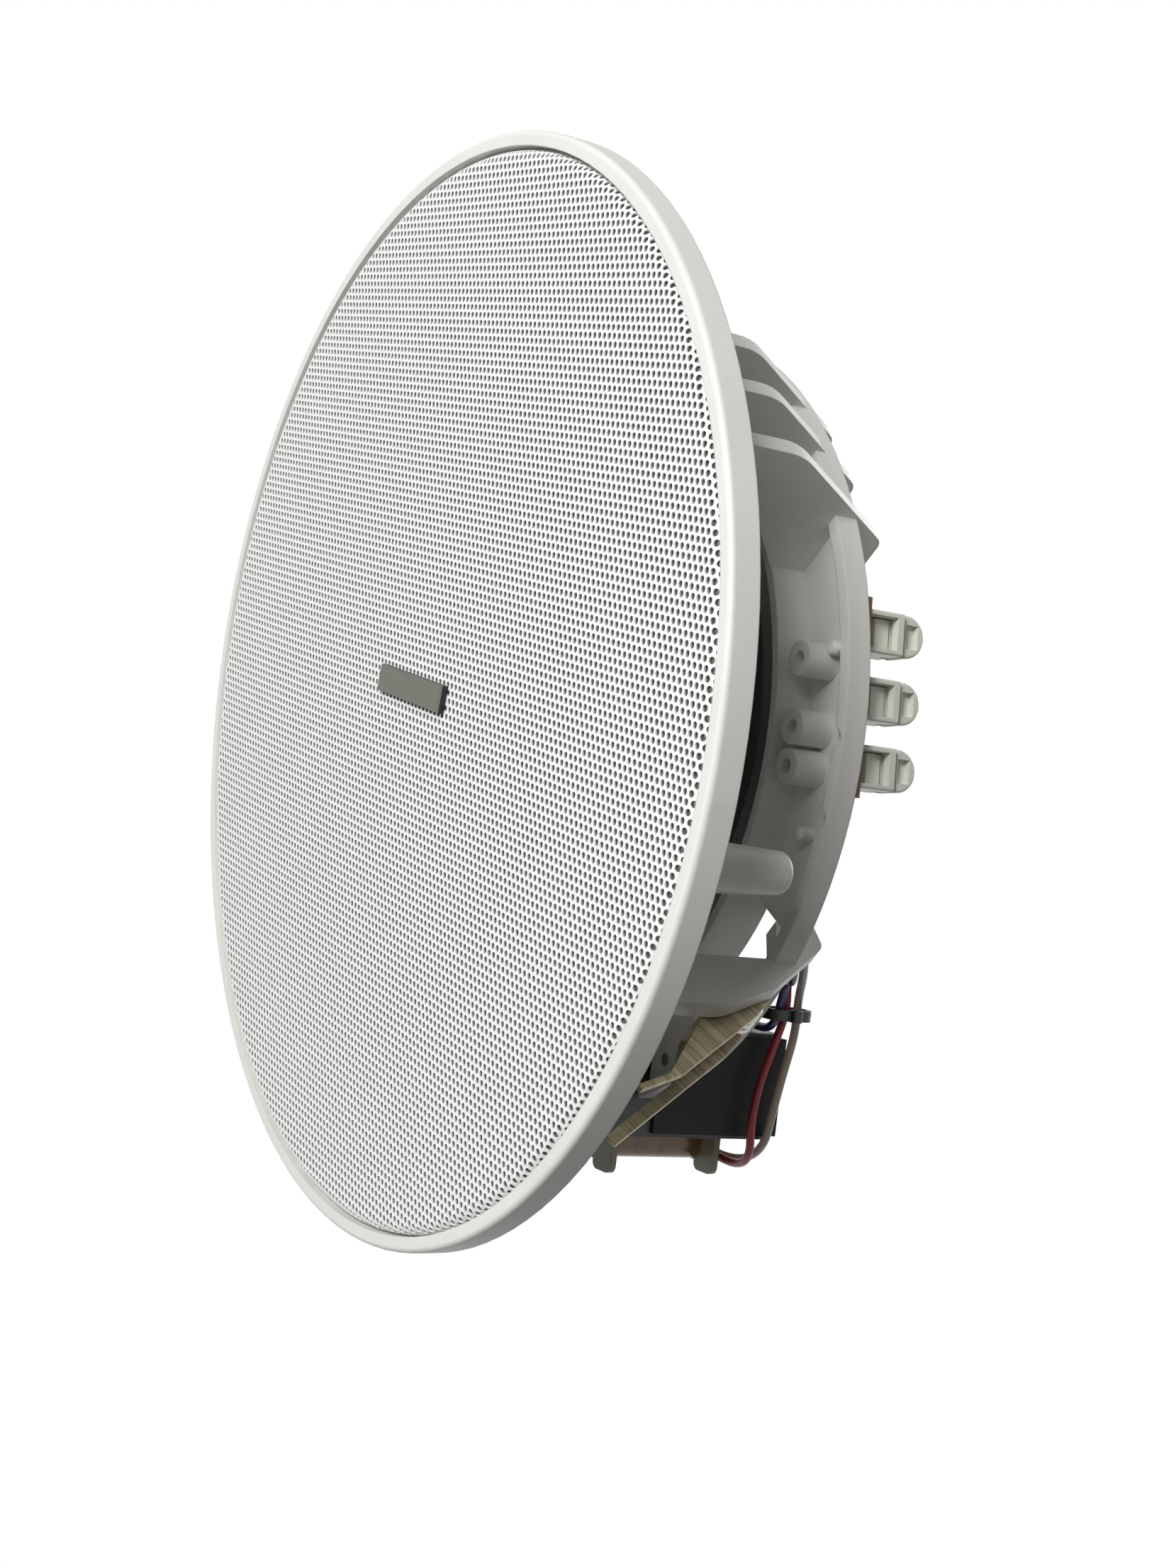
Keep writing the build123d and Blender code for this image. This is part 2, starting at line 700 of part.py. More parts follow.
# Push terminals: an open frame, a rocking lever on trunnions and a contact strip each
terminal_back = terminal_face - terminal_depth
cavity_back = terminal_back + terminal_wall
cavity_half = terminal_width / 2 - terminal_wall
bar_inner = terminal_face - terminal_bar_depth
bar_bottom = terminal_height - terminal_bar_height
lever_half = cavity_half - lever_clearance
trunnion_radius = cavity_back + trunnion_setback
terminal_axis = Axis((0, 0, 0), place(terminal_azimuth, 1, 0, 0))
for number, step in enumerate((-1, 0, 1), start=1):
    offset = step * terminal_pitch
    seat = Plane(
        origin=place(terminal_azimuth, 0, offset, board_top),
        x_dir=place(terminal_azimuth, 1, 0, 0), z_dir=(0, 0, 1),
    )
    upright = radial_plane(terminal_azimuth, offset)
    trunnion_axis = (trunnion_radius, board_top + trunnion_height)

    with BuildPart() as terminal_body:
        with BuildSketch(seat):
            with Locations(((terminal_back + terminal_face) / 2, 0)):
                Rectangle(terminal_depth, terminal_width)
        extrude(amount=terminal_height)
        fillet(terminal_body.edges().filter_by(Axis.Z), terminal_round)
        with BuildSketch(seat):
            with Locations(((cavity_back + terminal_face + terminal_wall) / 2, 0)):
                Rectangle(terminal_face + terminal_wall - cavity_back, 2 * cavity_half)
        extrude(amount=bar_bottom, mode=Mode.SUBTRACT)
        with BuildSketch(seat.offset(bar_bottom)):
            with Locations(((cavity_back + bar_inner) / 2, 0)):
                Rectangle(bar_inner - cavity_back, 2 * cavity_half)
        extrude(amount=terminal_height - bar_bottom, mode=Mode.SUBTRACT)
        with BuildSketch(seat):
            with Locations(((terminal_back + cavity_back) / 2, 0)):
                Rectangle(2 * terminal_wall, tail_width + 2 * lever_clearance)
        extrude(amount=contact_sheet + lever_clearance, mode=Mode.SUBTRACT)
        with BuildSketch(upright):
            with Locations(trunnion_axis):
                Circle(trunnion_diameter / 2 + running_clearance)
        extrude(amount=terminal_width, both=True, mode=Mode.SUBTRACT)
    save(terminal_body.part, f"terminal_body_{number}")

    with BuildPart() as terminal_lever:
        # Block inside the frame and the neck that passes under the bar
        with BuildSketch(upright):
            with BuildLine():
                Polyline(
                    (lever_back, board_top + lever_block_bottom),
                    (lever_block_face, board_top + lever_block_bottom),
                    (lever_block_face, board_top + bar_bottom - lever_clearance),
                    (lever_neck_face, board_top + bar_bottom - lever_clearance),
                    (lever_neck_face, board_top + terminal_height + 2 * lever_lift),
                    (lever_back, board_top + terminal_height + 2 * lever_lift), close=True,
                )
            make_face()
        extrude(amount=lever_half, both=True)
        # Rounded finger tab with a recess in its outer face
        tab_plane = Plane(
            origin=place(terminal_azimuth, lever_tab_back, offset, board_top + terminal_height),
            x_dir=(0, 0, 1), z_dir=place(terminal_azimuth, 1, 0, 0),
        )
        with BuildSketch(tab_plane):
            with Locations((lever_reach - terminal_width / 2, 0)):
                Circle(terminal_width / 2)
            with Locations(((lever_lift + lever_reach - terminal_width / 2) / 2, 0)):
                Rectangle(lever_reach - terminal_width / 2 - lever_lift, terminal_width)
            with Locations((lever_lift - terminal_width, 0)):
                Rectangle(2 * terminal_width, 2 * terminal_width, mode=Mode.SUBTRACT)
        extrude(amount=lever_tab_thick)
        tab_face = terminal_lever.faces().filter_by(terminal_axis).sort_by(terminal_axis)[-1]
        fillet(tab_face.edges(), lever_round)
        with BuildSketch(tab_plane.offset(lever_tab_thick)):
            with Locations((lever_lift + lever_recess_length / 2 + lever_round, 0)):
                Rectangle(lever_recess_length, lever_recess_width)
        extrude(amount=-lever_recess_depth, mode=Mode.SUBTRACT)
        # Trunnions
        with BuildSketch(upright):
            with Locations(trunnion_axis):
                Circle(trunnion_diameter / 2)
        extrude(amount=terminal_width / 2 - lever_clearance, both=True)
    save(terminal_lever.part, f"terminal_lever_{number}")

    with BuildPart() as terminal_contact:
        with BuildSketch(seat):
            with Locations(((cavity_back + terminal_face) / 2, 0)):
                Rectangle(terminal_face - cavity_back - 2 * lever_clearance, 2 * lever_half)
            with Locations(((board_inner + cavity_back + lever_clearance) / 2, 0)):
                Rectangle(cavity_back + lever_clearance - board_inner, tail_width)
        extrude(amount=contact_sheet)
    save(terminal_contact.part, f"terminal_contact_{number}")

# Line transformer: laminated core, bobbin, taped winding and the strap that holds it to the ring
core_middle = (core_front + core_rear) / 2
window_width = core_width / 2 - 2 * core_limb
window_length = core_length - 2 * core_limb
window_centre = core_limb + window_width / 2
with BuildPart() as transformer_core:
    with BuildSketch(radial_plane(transformer_side, core_radius)):
        with Locations((0, core_middle)):
            Rectangle(core_width, core_length)
        with Locations((window_centre, core_middle), (-window_centre, core_middle)):
            Rectangle(window_width, window_length, mode=Mode.SUBTRACT)
    extrude(amount=core_stack / 2, both=True)
save(transformer_core.part, "transformer_core")

bobbin_front = core_front + core_limb + core_clearance
bobbin_rear = core_rear - core_limb - core_clearance
bobbin_bore = (2 * core_limb + 2 * core_clearance, core_stack + 2 * core_clearance)
bobbin_tube = (bobbin_bore[0] + 2 * bobbin_wall, bobbin_bore[1] + 2 * bobbin_wall)
bobbin_flange = (core_width - 2 * core_limb - 2 * core_clearance, core_stack + 2 * bobbin_overhang)
bobbin_cheek = (bobbin_cheek_width, bobbin_overhang - core_clearance)
cheek_middle = core_radius + (core_stack + bobbin_overhang + core_clearance) / 2
lug_x = (bobbin_cheek_width - bobbin_lug_width) / 2
lug_y = core_radius + bobbin_flange[1] / 2
with BuildPart() as transformer_bobbin:
    with BuildSketch(level_plane(transformer_side, bobbin_front)):
        with Locations((0, core_radius)):
            Rectangle(*bobbin_tube)
    extrude(amount=bobbin_rear - bobbin_front)
    for start, direction in ((bobbin_front, 1), (bobbin_rear, -1)):
        with BuildSketch(level_plane(transformer_side, start)):
            with Locations((0, core_radius)):
                Rectangle(*bobbin_flange)
            with Locations((0, cheek_middle)):
                Rectangle(*bobbin_cheek)
            with Locations((lug_x, lug_y), (-lug_x, lug_y)):
                RectangleRounded(bobbin_lug_width, 2 * bobbin_lug, 0.9 * bobbin_lug)
        extrude(amount=direction * bobbin_flange_thick)
    with BuildSketch(level_plane(transformer_side, bobbin_front)):
        with Locations((0, core_radius)):
            Rectangle(*bobbin_bore)
    extrude(amount=bobbin_rear - bobbin_front, mode=Mode.SUBTRACT)
save(transformer_bobbin.part, "transformer_bobbin")

with BuildPart() as transformer_winding:
    with BuildSketch(level_plane(transformer_side, bobbin_front + bobbin_flange_thick)):
        with Locations((0, core_radius)):
            RectangleRounded(
                bobbin_flange[0] - winding_inset, bobbin_flange[1] - winding_inset, winding_round
            )
            Rectangle(*bobbin_tube, mode=Mode.SUBTRACT)
    extrude(amount=bobbin_rear - bobbin_front - 2 * bobbin_flange_thick)
save(transformer_winding.part, "transformer_winding")

strap_inner = core_width / 2
strap_outer = strap_inner + strap_thick
strap_end = strap_outer + strap_foot
with BuildPart() as transformer_strap:
    with BuildSketch(radial_plane(transformer_side, core_radius)):
        with BuildLine():
            Polyline(
                (strap_inner, ring_rear), (strap_inner, core_rear), (-strap_inner, core_rear),
                (-strap_inner, ring_rear), (-strap_end, ring_rear), (-strap_end, ring_rear + strap_thick),
                (-strap_outer, ring_rear + strap_thick), (-strap_outer, core_rear + strap_thick),
                (strap_outer, core_rear + strap_thick), (strap_outer, ring_rear + strap_thick),
                (strap_end, ring_rear + strap_thick), (strap_end, ring_rear), close=True,
            )
        make_face()
    extrude(amount=core_stack / 2 - strap_margin, both=True)
    # Each foot is cut back to its screw's half and drilled
    with BuildSketch(level_plane(transformer_side, ring_rear)):
        for foot_x, foot_y in strap_feet:
            with Locations((foot_x, foot_y + strap_foot / 2 + core_stack / 2)):
                Rectangle(strap_foot, core_stack)
            with Locations((foot_x, foot_y)):
                Circle(screw_diameter / 2)
    extrude(amount=strap_thick, mode=Mode.SUBTRACT)
save(transformer_strap.part, "transformer_strap")

with BuildPart() as transformer_screws:
    with BuildSketch(level_plane(transformer_side, ring_rear + strap_thick)):
        with Locations(*strap_feet):
            Circle(screw_head_diameter / 2)
    extrude(amount=screw_head_height)
    fillet(transformer_screws.faces().group_by(Axis.Z)[-1].edges(), screw_head_height / 3)
    with BuildSketch(level_plane(transformer_side, ring_rear + strap_thick)):
        with Locations(*strap_feet):
            Circle(screw_diameter / 2)
    extrude(amount=-(strap_thick + plate_thick))
save(transformer_screws.part, "transformer_screws")


# Ceiling clips: a channel-shaped arm with two blades, its pin and its torsion spring
def arm_point(along, across):
    """Point of a clip's upright plane, given along the closed arm and across it."""
    a = radians(clip_angle)
    return (
        clip_pivot_radius + along * cos(a) - across * sin(a),
        clip_pivot + along * sin(a) + across * cos(a),
    )


spring_radius = spring_coil_diameter / 2
web_outer = spring_radius + spring_wire / 2 + spring_seat
web_inner = web_outer + clip_sheet
blade_offset = (clip_width - clip_sheet) / 2
prong_end = (
    arm_point(clip_neck, clip_blade_rise - clip_neck_width), arm_point(clip_prong, -clip_prong_width / 4),
    arm_point(clip_prong, 3 * clip_prong_width / 4), arm_point(clip_neck - clip_neck_run, clip_blade_rise),
)
broad_end = (
    arm_point(clip_broad_start, clip_blade_rise - clip_broad_width),
    arm_point(clip_length, clip_blade_rise - clip_broad_width), arm_point(clip_length, clip_blade_rise),
)
spring_ring_leg = ring_front - clip_pivot - spring_seat
for number, azimuth in enumerate(clip_leg_azimuths, start=1):
    with BuildPart() as clip_arm:
        for offset, blade_end in ((clip_offset - blade_offset, prong_end), (clip_offset + blade_offset, broad_end)):
            with BuildSketch(radial_plane(azimuth, offset)):
                with BuildLine():
                    Polyline(
                        arm_point(0, -clip_eye_radius), arm_point(clip_web_start, -web_inner),
                        arm_point(clip_web_end, -web_inner), *blade_end,
                        arm_point(clip_blade_start, clip_blade_rise), arm_point(0, clip_eye_radius), close=True,
                    )
                make_face()
                with Locations(arm_point(0, 0)):
                    Circle(clip_eye_radius)
                    Circle(clip_pin_diameter / 2 + running_clearance, mode=Mode.SUBTRACT)
            extrude(amount=clip_sheet / 2, both=True)
        with BuildSketch(radial_plane(azimuth, clip_offset)):
            with BuildLine():
                Polyline(
                    arm_point(clip_web_start, -web_inner), arm_point(clip_web_end, -web_inner),
                    arm_point(clip_web_end, -web_outer), arm_point(clip_web_start, -web_outer), close=True,
                )
            make_face()
        extrude(amount=clip_width / 2, both=True)
    save(clip_arm.part, f"clip_arm_{number}")

    with BuildPart() as clip_pin:
        with BuildSketch(radial_plane(azimuth, ear_outside)):
            with Locations((clip_pivot_radius, clip_pivot)):
                Circle(clip_pin_head / 2)
        extrude(amount=-clip_pin_head_thick)
        with BuildSketch(radial_plane(azimuth, ear_outside)):
            with Locations((clip_pivot_radius, clip_pivot)):
                Circle(clip_pin_diameter / 2)
        extrude(amount=ear_outside - clip_pin_end)
    save(clip_pin.part, f"clip_pin_{number}")

    with BuildPart() as clip_spring:
        last_turn = (90 + clip_angle) / 360
        spring_height = (spring_turns + last_turn) * spring_pitch
        a = radians(clip_angle)
        coil_plane = Plane(
            origin=place(azimuth, clip_pivot_radius, clip_offset - spring_height / 2, clip_pivot),
            x_dir=place(azimuth, sin(a), 0, -cos(a)), z_dir=place(azimuth, 0, 1, 0),
        )
        coil = coil_plane * Helix(spring_pitch, spring_height, spring_radius, mode=Mode.PRIVATE)
        with BuildLine() as spring_line:
            add(coil)
            arm_leg = Line(coil @ 0 - (coil % 0) * spring_arm_leg, coil @ 0)
            Line(coil @ 1, coil @ 1 + (coil % 1) * spring_ring_leg)
        with BuildSketch(Plane(origin=arm_leg @ 0, z_dir=arm_leg % 0)):
            Circle(spring_wire / 2)
        sweep(path=spring_line.wires()[0])
    save(clip_spring.part, f"clip_spring_{number}")


# Hook-up wires, soldered at both ends
def corner_radii(route):
    """Largest arc for each corner: 0.45 of the shorter run over the tangent of half the turn."""
    radii = []
    for before, corner, after in zip(route, route[1:], route[2:]):
        run_in = Vector(*corner) - Vector(*before)
        run_out = Vector(*after) - Vector(*corner)
        half_turn = radians(run_in.get_angle(run_out)) / 2
        radii.append(0.45 * min(run_in.length, run_out.length) / tan(half_turn))
    return radii


def at_core(across, outwards, height):
    """Point given across the transformer, outwards from the speaker's axis and up."""
    return place(transformer_side, across, outwards, height)


def at_tag_board(outwards, sideways, height):
    """Point given outwards past the tag board, sideways from its middle and up."""
    return place(tag_board_azimuth, outwards, sideways, height)


def at_tag(step):
    """Last two points of a lead that comes down on a contact's tail."""
    outwards = board_inner + wire_diameter
    offset = step * terminal_pitch
    tail_top = board_top + contact_sheet
    return [place(terminal_azimuth, outwards, offset, tail_top + height) for height in (lead_drop, 0)]


lug_line = core_radius + core_stack / 2 + 0.7 * bobbin_overhang
inner_line = core_radius - core_stack / 2 - bobbin_overhang / 2
tag_face = tag_radius + contact_sheet / 2
tag_middle = basket_ledge + board_thick + 0.7 * tag_height
wire_routes = {
    "wire_red": [
        at_core(14, lug_line, bobbin_rear), at_core(14, lug_line, 86), at_core(24, 102.5, 88.5),
        at_core(33.5, 99, 86), at_core(35, 90, 83.8), at_core(35.2, 81, 84.8), at_core(34.6, 72, 88),
        at_core(34, 64, 91), at_core(34.6, 56, 89.6), (50, 46.3, 84.5), (57.7, 32.8, 75.8),
        (63.5, 15.3, 69), (68.5, -6, 67.5), *at_tag(-1),
    ],
    "wire_white": [
        at_core(7, lug_line, bobbin_rear), at_core(7, lug_line, 88), at_core(20, 102.5, 92),
        at_core(32, 97, 90.5), at_core(34.5, 88, 90), at_core(34.5, 78, 91.8), at_core(34, 69, 94.2),
        at_core(34.2, 61, 93.6), (50.3, 47.4, 87.5), (59, 33.6, 78.2), (65.5, 15.7, 71.4),
        (73, 4, 69.5), *at_tag(1),
    ],
    "wire_blue": [
        at_core(15, inner_line, bobbin_rear), at_core(15, inner_line, 86), at_core(25, 68.6, 87.8),
        at_core(35, 68.2, 86.9), at_core(36.5, 61, 87.3), at_core(38.5, 56, 86.5),
        (54.6, 49.4, 82), (61, 34, 74.5), (66.3, 16, 68.9), (71.3, -6, 67.4), *at_tag(0),
    ],
    "driver_lead_1": [
        at_core(-10, inner_line, bobbin_rear), at_core(-10, inner_line, 86), at_core(-21, 67.5, 88),
        at_tag_board(68.5, 2, 80), at_tag_board(67, 3.5, 62), at_tag_board(58, tag_pitch / 2, tag_middle),
        at_tag_board(tag_face, tag_pitch / 2, tag_middle),
    ],
    "driver_lead_2": [
        at_core(-4, inner_line, bobbin_rear), at_core(-4, inner_line, 88), at_core(-20, 65, 91),
        at_tag_board(67.5, -2, 80), at_tag_board(66, -3.5, 62), at_tag_board(57, -tag_pitch / 2, tag_middle),
        at_tag_board(tag_face, -tag_pitch / 2, tag_middle),
    ],
}
for name, route in wire_routes.items():
    with BuildPart() as wire:
        with BuildLine():
            path = FilletPolyline(*route, radius=corner_radii(route))
        with BuildSketch(Plane(origin=path @ 0, z_dir=path % 0)):
            Circle(wire_diameter / 2)
        sweep(path=path)
    save(wire.part, name)

# Cable tie round the three leads beside the transformer
with BuildPart() as cable_tie:
    with BuildSketch(radial_plane(transformer_side, tie_line)):
        with Locations(tie_centre):
            RectangleRounded(tie_width + 2 * tie_thick, tie_height + 2 * tie_thick, tie_round + tie_thick)
            RectangleRounded(tie_width, tie_height, tie_round, mode=Mode.SUBTRACT)
    extrude(amount=tie_band / 2, both=True)
    with BuildSketch(radial_plane(transformer_side, tie_line)):
        with Locations((tie_centre[0] + tie_width / 2 + tie_thick, tie_centre[1])):
            RectangleRounded(tie_lock, tie_lock, tie_thick)
        with Locations(tie_centre):
            RectangleRounded(tie_width, tie_height, tie_round, mode=Mode.SUBTRACT)
    extrude(amount=tie_lock / 2, both=True)
save(cable_tie.part, "cable_tie")
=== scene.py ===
"""Looks of the in-ceiling speaker: finishes, perforated grille, hook-up wires, camera and light.

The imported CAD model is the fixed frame. Lengths are in metres and Z points up into the ceiling
void, so the grille faces down and the camera looks up at it.
"""

from __future__ import annotations

import json
import logging
import math
from dataclasses import dataclass
from enum import Enum
from typing import Sequence, Union

import bpy
from mathutils import Matrix, Vector

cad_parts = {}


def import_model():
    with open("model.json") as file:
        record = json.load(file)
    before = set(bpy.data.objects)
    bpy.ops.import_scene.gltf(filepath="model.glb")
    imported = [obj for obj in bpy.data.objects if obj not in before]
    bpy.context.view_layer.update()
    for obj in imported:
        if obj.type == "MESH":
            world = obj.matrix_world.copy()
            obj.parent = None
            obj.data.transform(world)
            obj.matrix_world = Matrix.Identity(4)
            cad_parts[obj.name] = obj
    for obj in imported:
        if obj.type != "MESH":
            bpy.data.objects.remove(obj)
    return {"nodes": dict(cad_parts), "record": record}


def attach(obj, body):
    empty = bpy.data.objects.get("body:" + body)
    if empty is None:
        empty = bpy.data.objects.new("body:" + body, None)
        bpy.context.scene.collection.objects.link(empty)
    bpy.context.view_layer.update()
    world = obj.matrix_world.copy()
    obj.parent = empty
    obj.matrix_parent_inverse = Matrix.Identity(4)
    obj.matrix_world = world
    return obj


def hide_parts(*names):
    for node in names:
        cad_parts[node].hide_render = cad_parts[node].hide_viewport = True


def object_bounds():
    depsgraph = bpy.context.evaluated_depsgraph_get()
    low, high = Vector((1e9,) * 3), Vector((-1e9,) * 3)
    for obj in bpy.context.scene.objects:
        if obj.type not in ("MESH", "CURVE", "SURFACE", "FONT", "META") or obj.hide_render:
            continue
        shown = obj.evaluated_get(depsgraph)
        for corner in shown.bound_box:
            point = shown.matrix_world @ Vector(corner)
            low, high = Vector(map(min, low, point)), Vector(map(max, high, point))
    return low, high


LOG = logging.getLogger("speaker")
MM = 0.001
ROOT_BODY = "housing"

Point = tuple[float, float, float]
Colour = tuple[float, float, float]


class Slot(str, Enum):
    """Material slots of the record that the scene gives a finish to."""

    MOULDING = "moulding_white"
    GRILLE = "grille_white"
    BADGE = "badge_metal"
    TERMINAL = "terminal_ivory"
    BOARD = "board_brown"
    CONTACT = "contact_metal"
    ZINC = "zinc_yellow"
    SPRING = "spring_steel"
    SCREW = "screw_steel"
    STRAP = "strap_steel"
    CORE = "core_steel"
    BOBBIN = "bobbin_pale"
    TAPE = "tape_amber"
    RED = "wire_red"
    CREAM = "wire_white"
    BLUE = "wire_blue"
    BLACK = "wire_black"
    TIE = "tie_black"
    BASKET = "basket_black"
    PAPER = "paper_black"
    RUBBER = "foam_black"
    CLOTH = "spider_cloth"
    FERRITE = "ferrite"
    POLE = "pole_steel"
    COPPER = "coil_copper"
    FILM = "former_film"


@dataclass(frozen=True)
class GrilleSpec:
    """Sizes of the perforated sheet.

    Attributes:
        radius: Outer radius of the rolled edge.
        bend: Outer radius of the roll.
        face: Height of the front face.
        skirt_end: Height at which the skirt stops.
        sheet: Sheet thickness.
        pitch: Distance between neighbouring holes in a row.
        hole: Hole diameter.
        hole_sides: Sides of each hole's outline.
        punched: Distance from the axis, along the sheet, that the holes reach.
        covered: Distance from the axis, along the sheet, that plain cells reach.
        middle_share: Share of the rows that the middle band takes.
        skirt_turns: Degrees round the roll at which the skirt's profile has a point.
        skirt_sides: Facets of the skirt round the axis.
        skirt_gap: Distance of the skirt behind the skin.
        hole_shade_starts: Depth in a hole at which the painted shade of the hole walls starts.
        hole_shade_full: Depth in a hole at which the painted shade is darkest.
    """

    radius: float = 121.1 * MM
    bend: float = 2.4 * MM
    face: float = 1.8 * MM
    skirt_end: float = 5.8 * MM
    sheet: float = 0.9 * MM
    pitch: float = 1.99 * MM
    hole: float = 1.42 * MM
    hole_sides: int = 10
    punched: float = 122.0 * MM
    covered: float = 123.9 * MM
    middle_share: float = 0.265
    skirt_turns: tuple[int, ...] = (82, 86, 90)
    skirt_sides: int = 180
    skirt_gap: float = 0.03 * MM
    # Depths over which the hole walls get their painted shade.
    hole_shade_starts: float = 0.08 * MM
    hole_shade_full: float = 0.45 * MM

    @property
    def row_spacing(self) -> float:
        """Distance between rows of holes."""
        return self.pitch * math.sqrt(3) / 2

    @property
    def bend_start(self) -> float:
        """Distance from the axis at which the roll starts."""
        return self.radius - self.bend


@dataclass(frozen=True)
class WireSpec:
    """One hook-up wire.

    Attributes:
        node: CAD node that the wire stands for.
        slot: Finish of its insulation.
        length: Length of its route; not used.
        route: Control points in millimetres, from the transformer.
        with_nodes: CAD nodes that sit on the wire; not used.
    """

    node: str
    slot: Slot
    length: float
    route: tuple[Point, ...]
    with_nodes: tuple[str, ...] = ()


@dataclass(frozen=True)
class Lamp:
    """One area lamp, placed by a direction from the object's middle.

    Attributes:
        name: Object name.
        direction: Direction from the object towards the lamp.
        distance: Distance from the object's middle.
        size: Width of its square.
        power: Watts.
    """

    name: str
    direction: Point
    distance: float
    size: float
    power: float


@dataclass(frozen=True)
class CameraFit:
    """The photograph's camera, fitted to the rim, the rear ring and the grille.

    Attributes:
        place: Position in millimetres.
        right: Direction of the picture's right.
        down: Direction of the picture's lower edge.
        forward: Viewing direction.
        focal_pixels: Focal length in pixels of the photograph.
        picture: Width and height of the photograph in pixels.
    """

    place: Point = (443.636, -44.621, -212.116)
    right: Point = (0.48238, -0.18579, 0.85603)
    down: Point = (0.19571, 0.97540, 0.10141)
    forward: Point = (-0.85382, 0.11861, 0.50688)
    focal_pixels: float = 3069.386
    picture: tuple[int, int] = (1659, 2212)


CORE_AZIMUTH = 80.0
CLIP_AZIMUTH = 35.0
CLIP_ANGLE = -56.6
WIRE_DIAMETER = 2.0 * MM
WIRES = (
    WireSpec("wire_red", Slot.RED, 165.6 * MM, (
        (26.97, 97.63, 83), (26.97, 97.63, 86), (37.17, 98.49, 88.5), (46.14, 93.78, 86),
        (46.45, 84.66, 83.8), (45.47, 75.71, 84.8), (43.7, 66.87, 88), (42.06, 59.01, 91),
        (41.61, 51, 89.6), (50, 46.3, 84.5), (57.7, 32.8, 75.8), (63.5, 15.3, 69),
        (68.5, -6, 67.5), (71.57, -30.72, 68), (71.57, -30.72, 62),
    ), ("cable_tie",)),
    WireSpec("wire_white", Slot.CREAM, 146.8 * MM, (
        (20.03, 98.55, 83), (20.03, 98.55, 88), (33.21, 99.01, 92), (44.39, 91.99, 90.5),
        (45.69, 82.74, 90), (44.39, 72.83, 91.8), (42.72, 63.97, 94.2), (41.87, 56.01, 93.6),
        (50.3, 47.4, 87.5), (59, 33.6, 78.2), (65.5, 15.7, 71.4), (73, 4, 69.5),
        (77.82, -3.22, 68), (77.82, -3.22, 62),
    )),
    WireSpec("wire_blue", Slot.BLUE, 120.3 * MM, (
        (23.51, 63.68, 83), (23.51, 63.68, 86), (33.74, 64.75, 87.8), (43.6, 63.05, 86.9),
        (44.15, 55.71, 87.3), (45.48, 50.5, 86.5), (54.6, 49.4, 82), (61, 34, 74.5),
        (66.3, 16, 68.9), (71.3, -6, 67.4), (74.7, -16.97, 68), (74.7, -16.97, 62),
    )),
    WireSpec("driver_lead_1", Slot.BLACK, 73.8 * MM, (
        (-1.27, 66.94, 83), (-1.27, 66.94, 86), (-12.01, 69.66, 88), (-19.66, 65.65, 80),
        (-20.72, 63.81, 62), (-18.88, 54.99, 45.3), (-15.2, 41.27, 45.3),
    )),
    WireSpec("driver_lead_2", Slot.BLACK, 79.3 * MM, (
        (4.68, 66.16, 83), (4.68, 66.16, 88), (-11.34, 67.05, 91), (-15.54, 65.72, 80),
        (-13.7, 64.66, 62), (-10.89, 56.09, 45.3), (-7.47, 43.34, 45.3),
    )),
)
LAMPS = (
    Lamp("key", (0.46, -0.50, -0.73), 1.3, 0.5, 16.0),
    Lamp("fill", (-0.35, 0.1, -0.93), 1.5, 0.8, 5.0),
    Lamp("rear", (-0.30, -0.25, 0.92), 1.4, 0.8, 9.0),
)
FLOOR_HEIGHT = -2.0
FLOOR_WIDTH = 12.0
FLOOR_GLOW = (0.62, 0.62, 0.62)
SKY_SEEN = 1.0
SKY_LIT = 0.075


Operand = Union["Value", float, int]


class Value:
    """A node's output, combined with others by ordinary arithmetic."""

    def __init__(self, graph: Graph, socket: bpy.types.NodeSocket) -> None:
        """Wrap a socket.

        Args:
            graph: Graph that the socket belongs to.
            socket: Output socket.
        """
        self.graph = graph
        self.socket = socket

    def __add__(self, other: Operand) -> Value:
        return self.graph.maths("ADD", self, other)

    def __radd__(self, other: Operand) -> Value:
        return self.graph.maths("ADD", other, self)

    def __sub__(self, other: Operand) -> Value:
        return self.graph.maths("SUBTRACT", self, other)

    def __rsub__(self, other: Operand) -> Value:
        return self.graph.maths("SUBTRACT", other, self)

    def __mul__(self, other: Operand) -> Value:
        return self.graph.maths("MULTIPLY", self, other)

    def __rmul__(self, other: Operand) -> Value:
        return self.graph.maths("MULTIPLY", other, self)

    def __truediv__(self, other: Operand) -> Value:
        return self.graph.maths("DIVIDE", self, other)

    def __rtruediv__(self, other: Operand) -> Value:
        return self.graph.maths("DIVIDE", other, self)

    def __pow__(self, other: Operand) -> Value:
        return self.graph.maths("POWER", self, other)

    def __mod__(self, other: Operand) -> Value:
        return self.graph.maths("FLOORED_MODULO", self, other)

    def __lt__(self, other: Operand) -> Value:
        return self.graph.maths("LESS_THAN", self, other)

    def __gt__(self, other: Operand) -> Value:
        return self.graph.maths("GREATER_THAN", self, other)

    def __neg__(self) -> Value:
        return self.graph.maths("MULTIPLY", self, -1.0)

    def __abs__(self) -> Value:
        return self.graph.maths("ABSOLUTE", self)


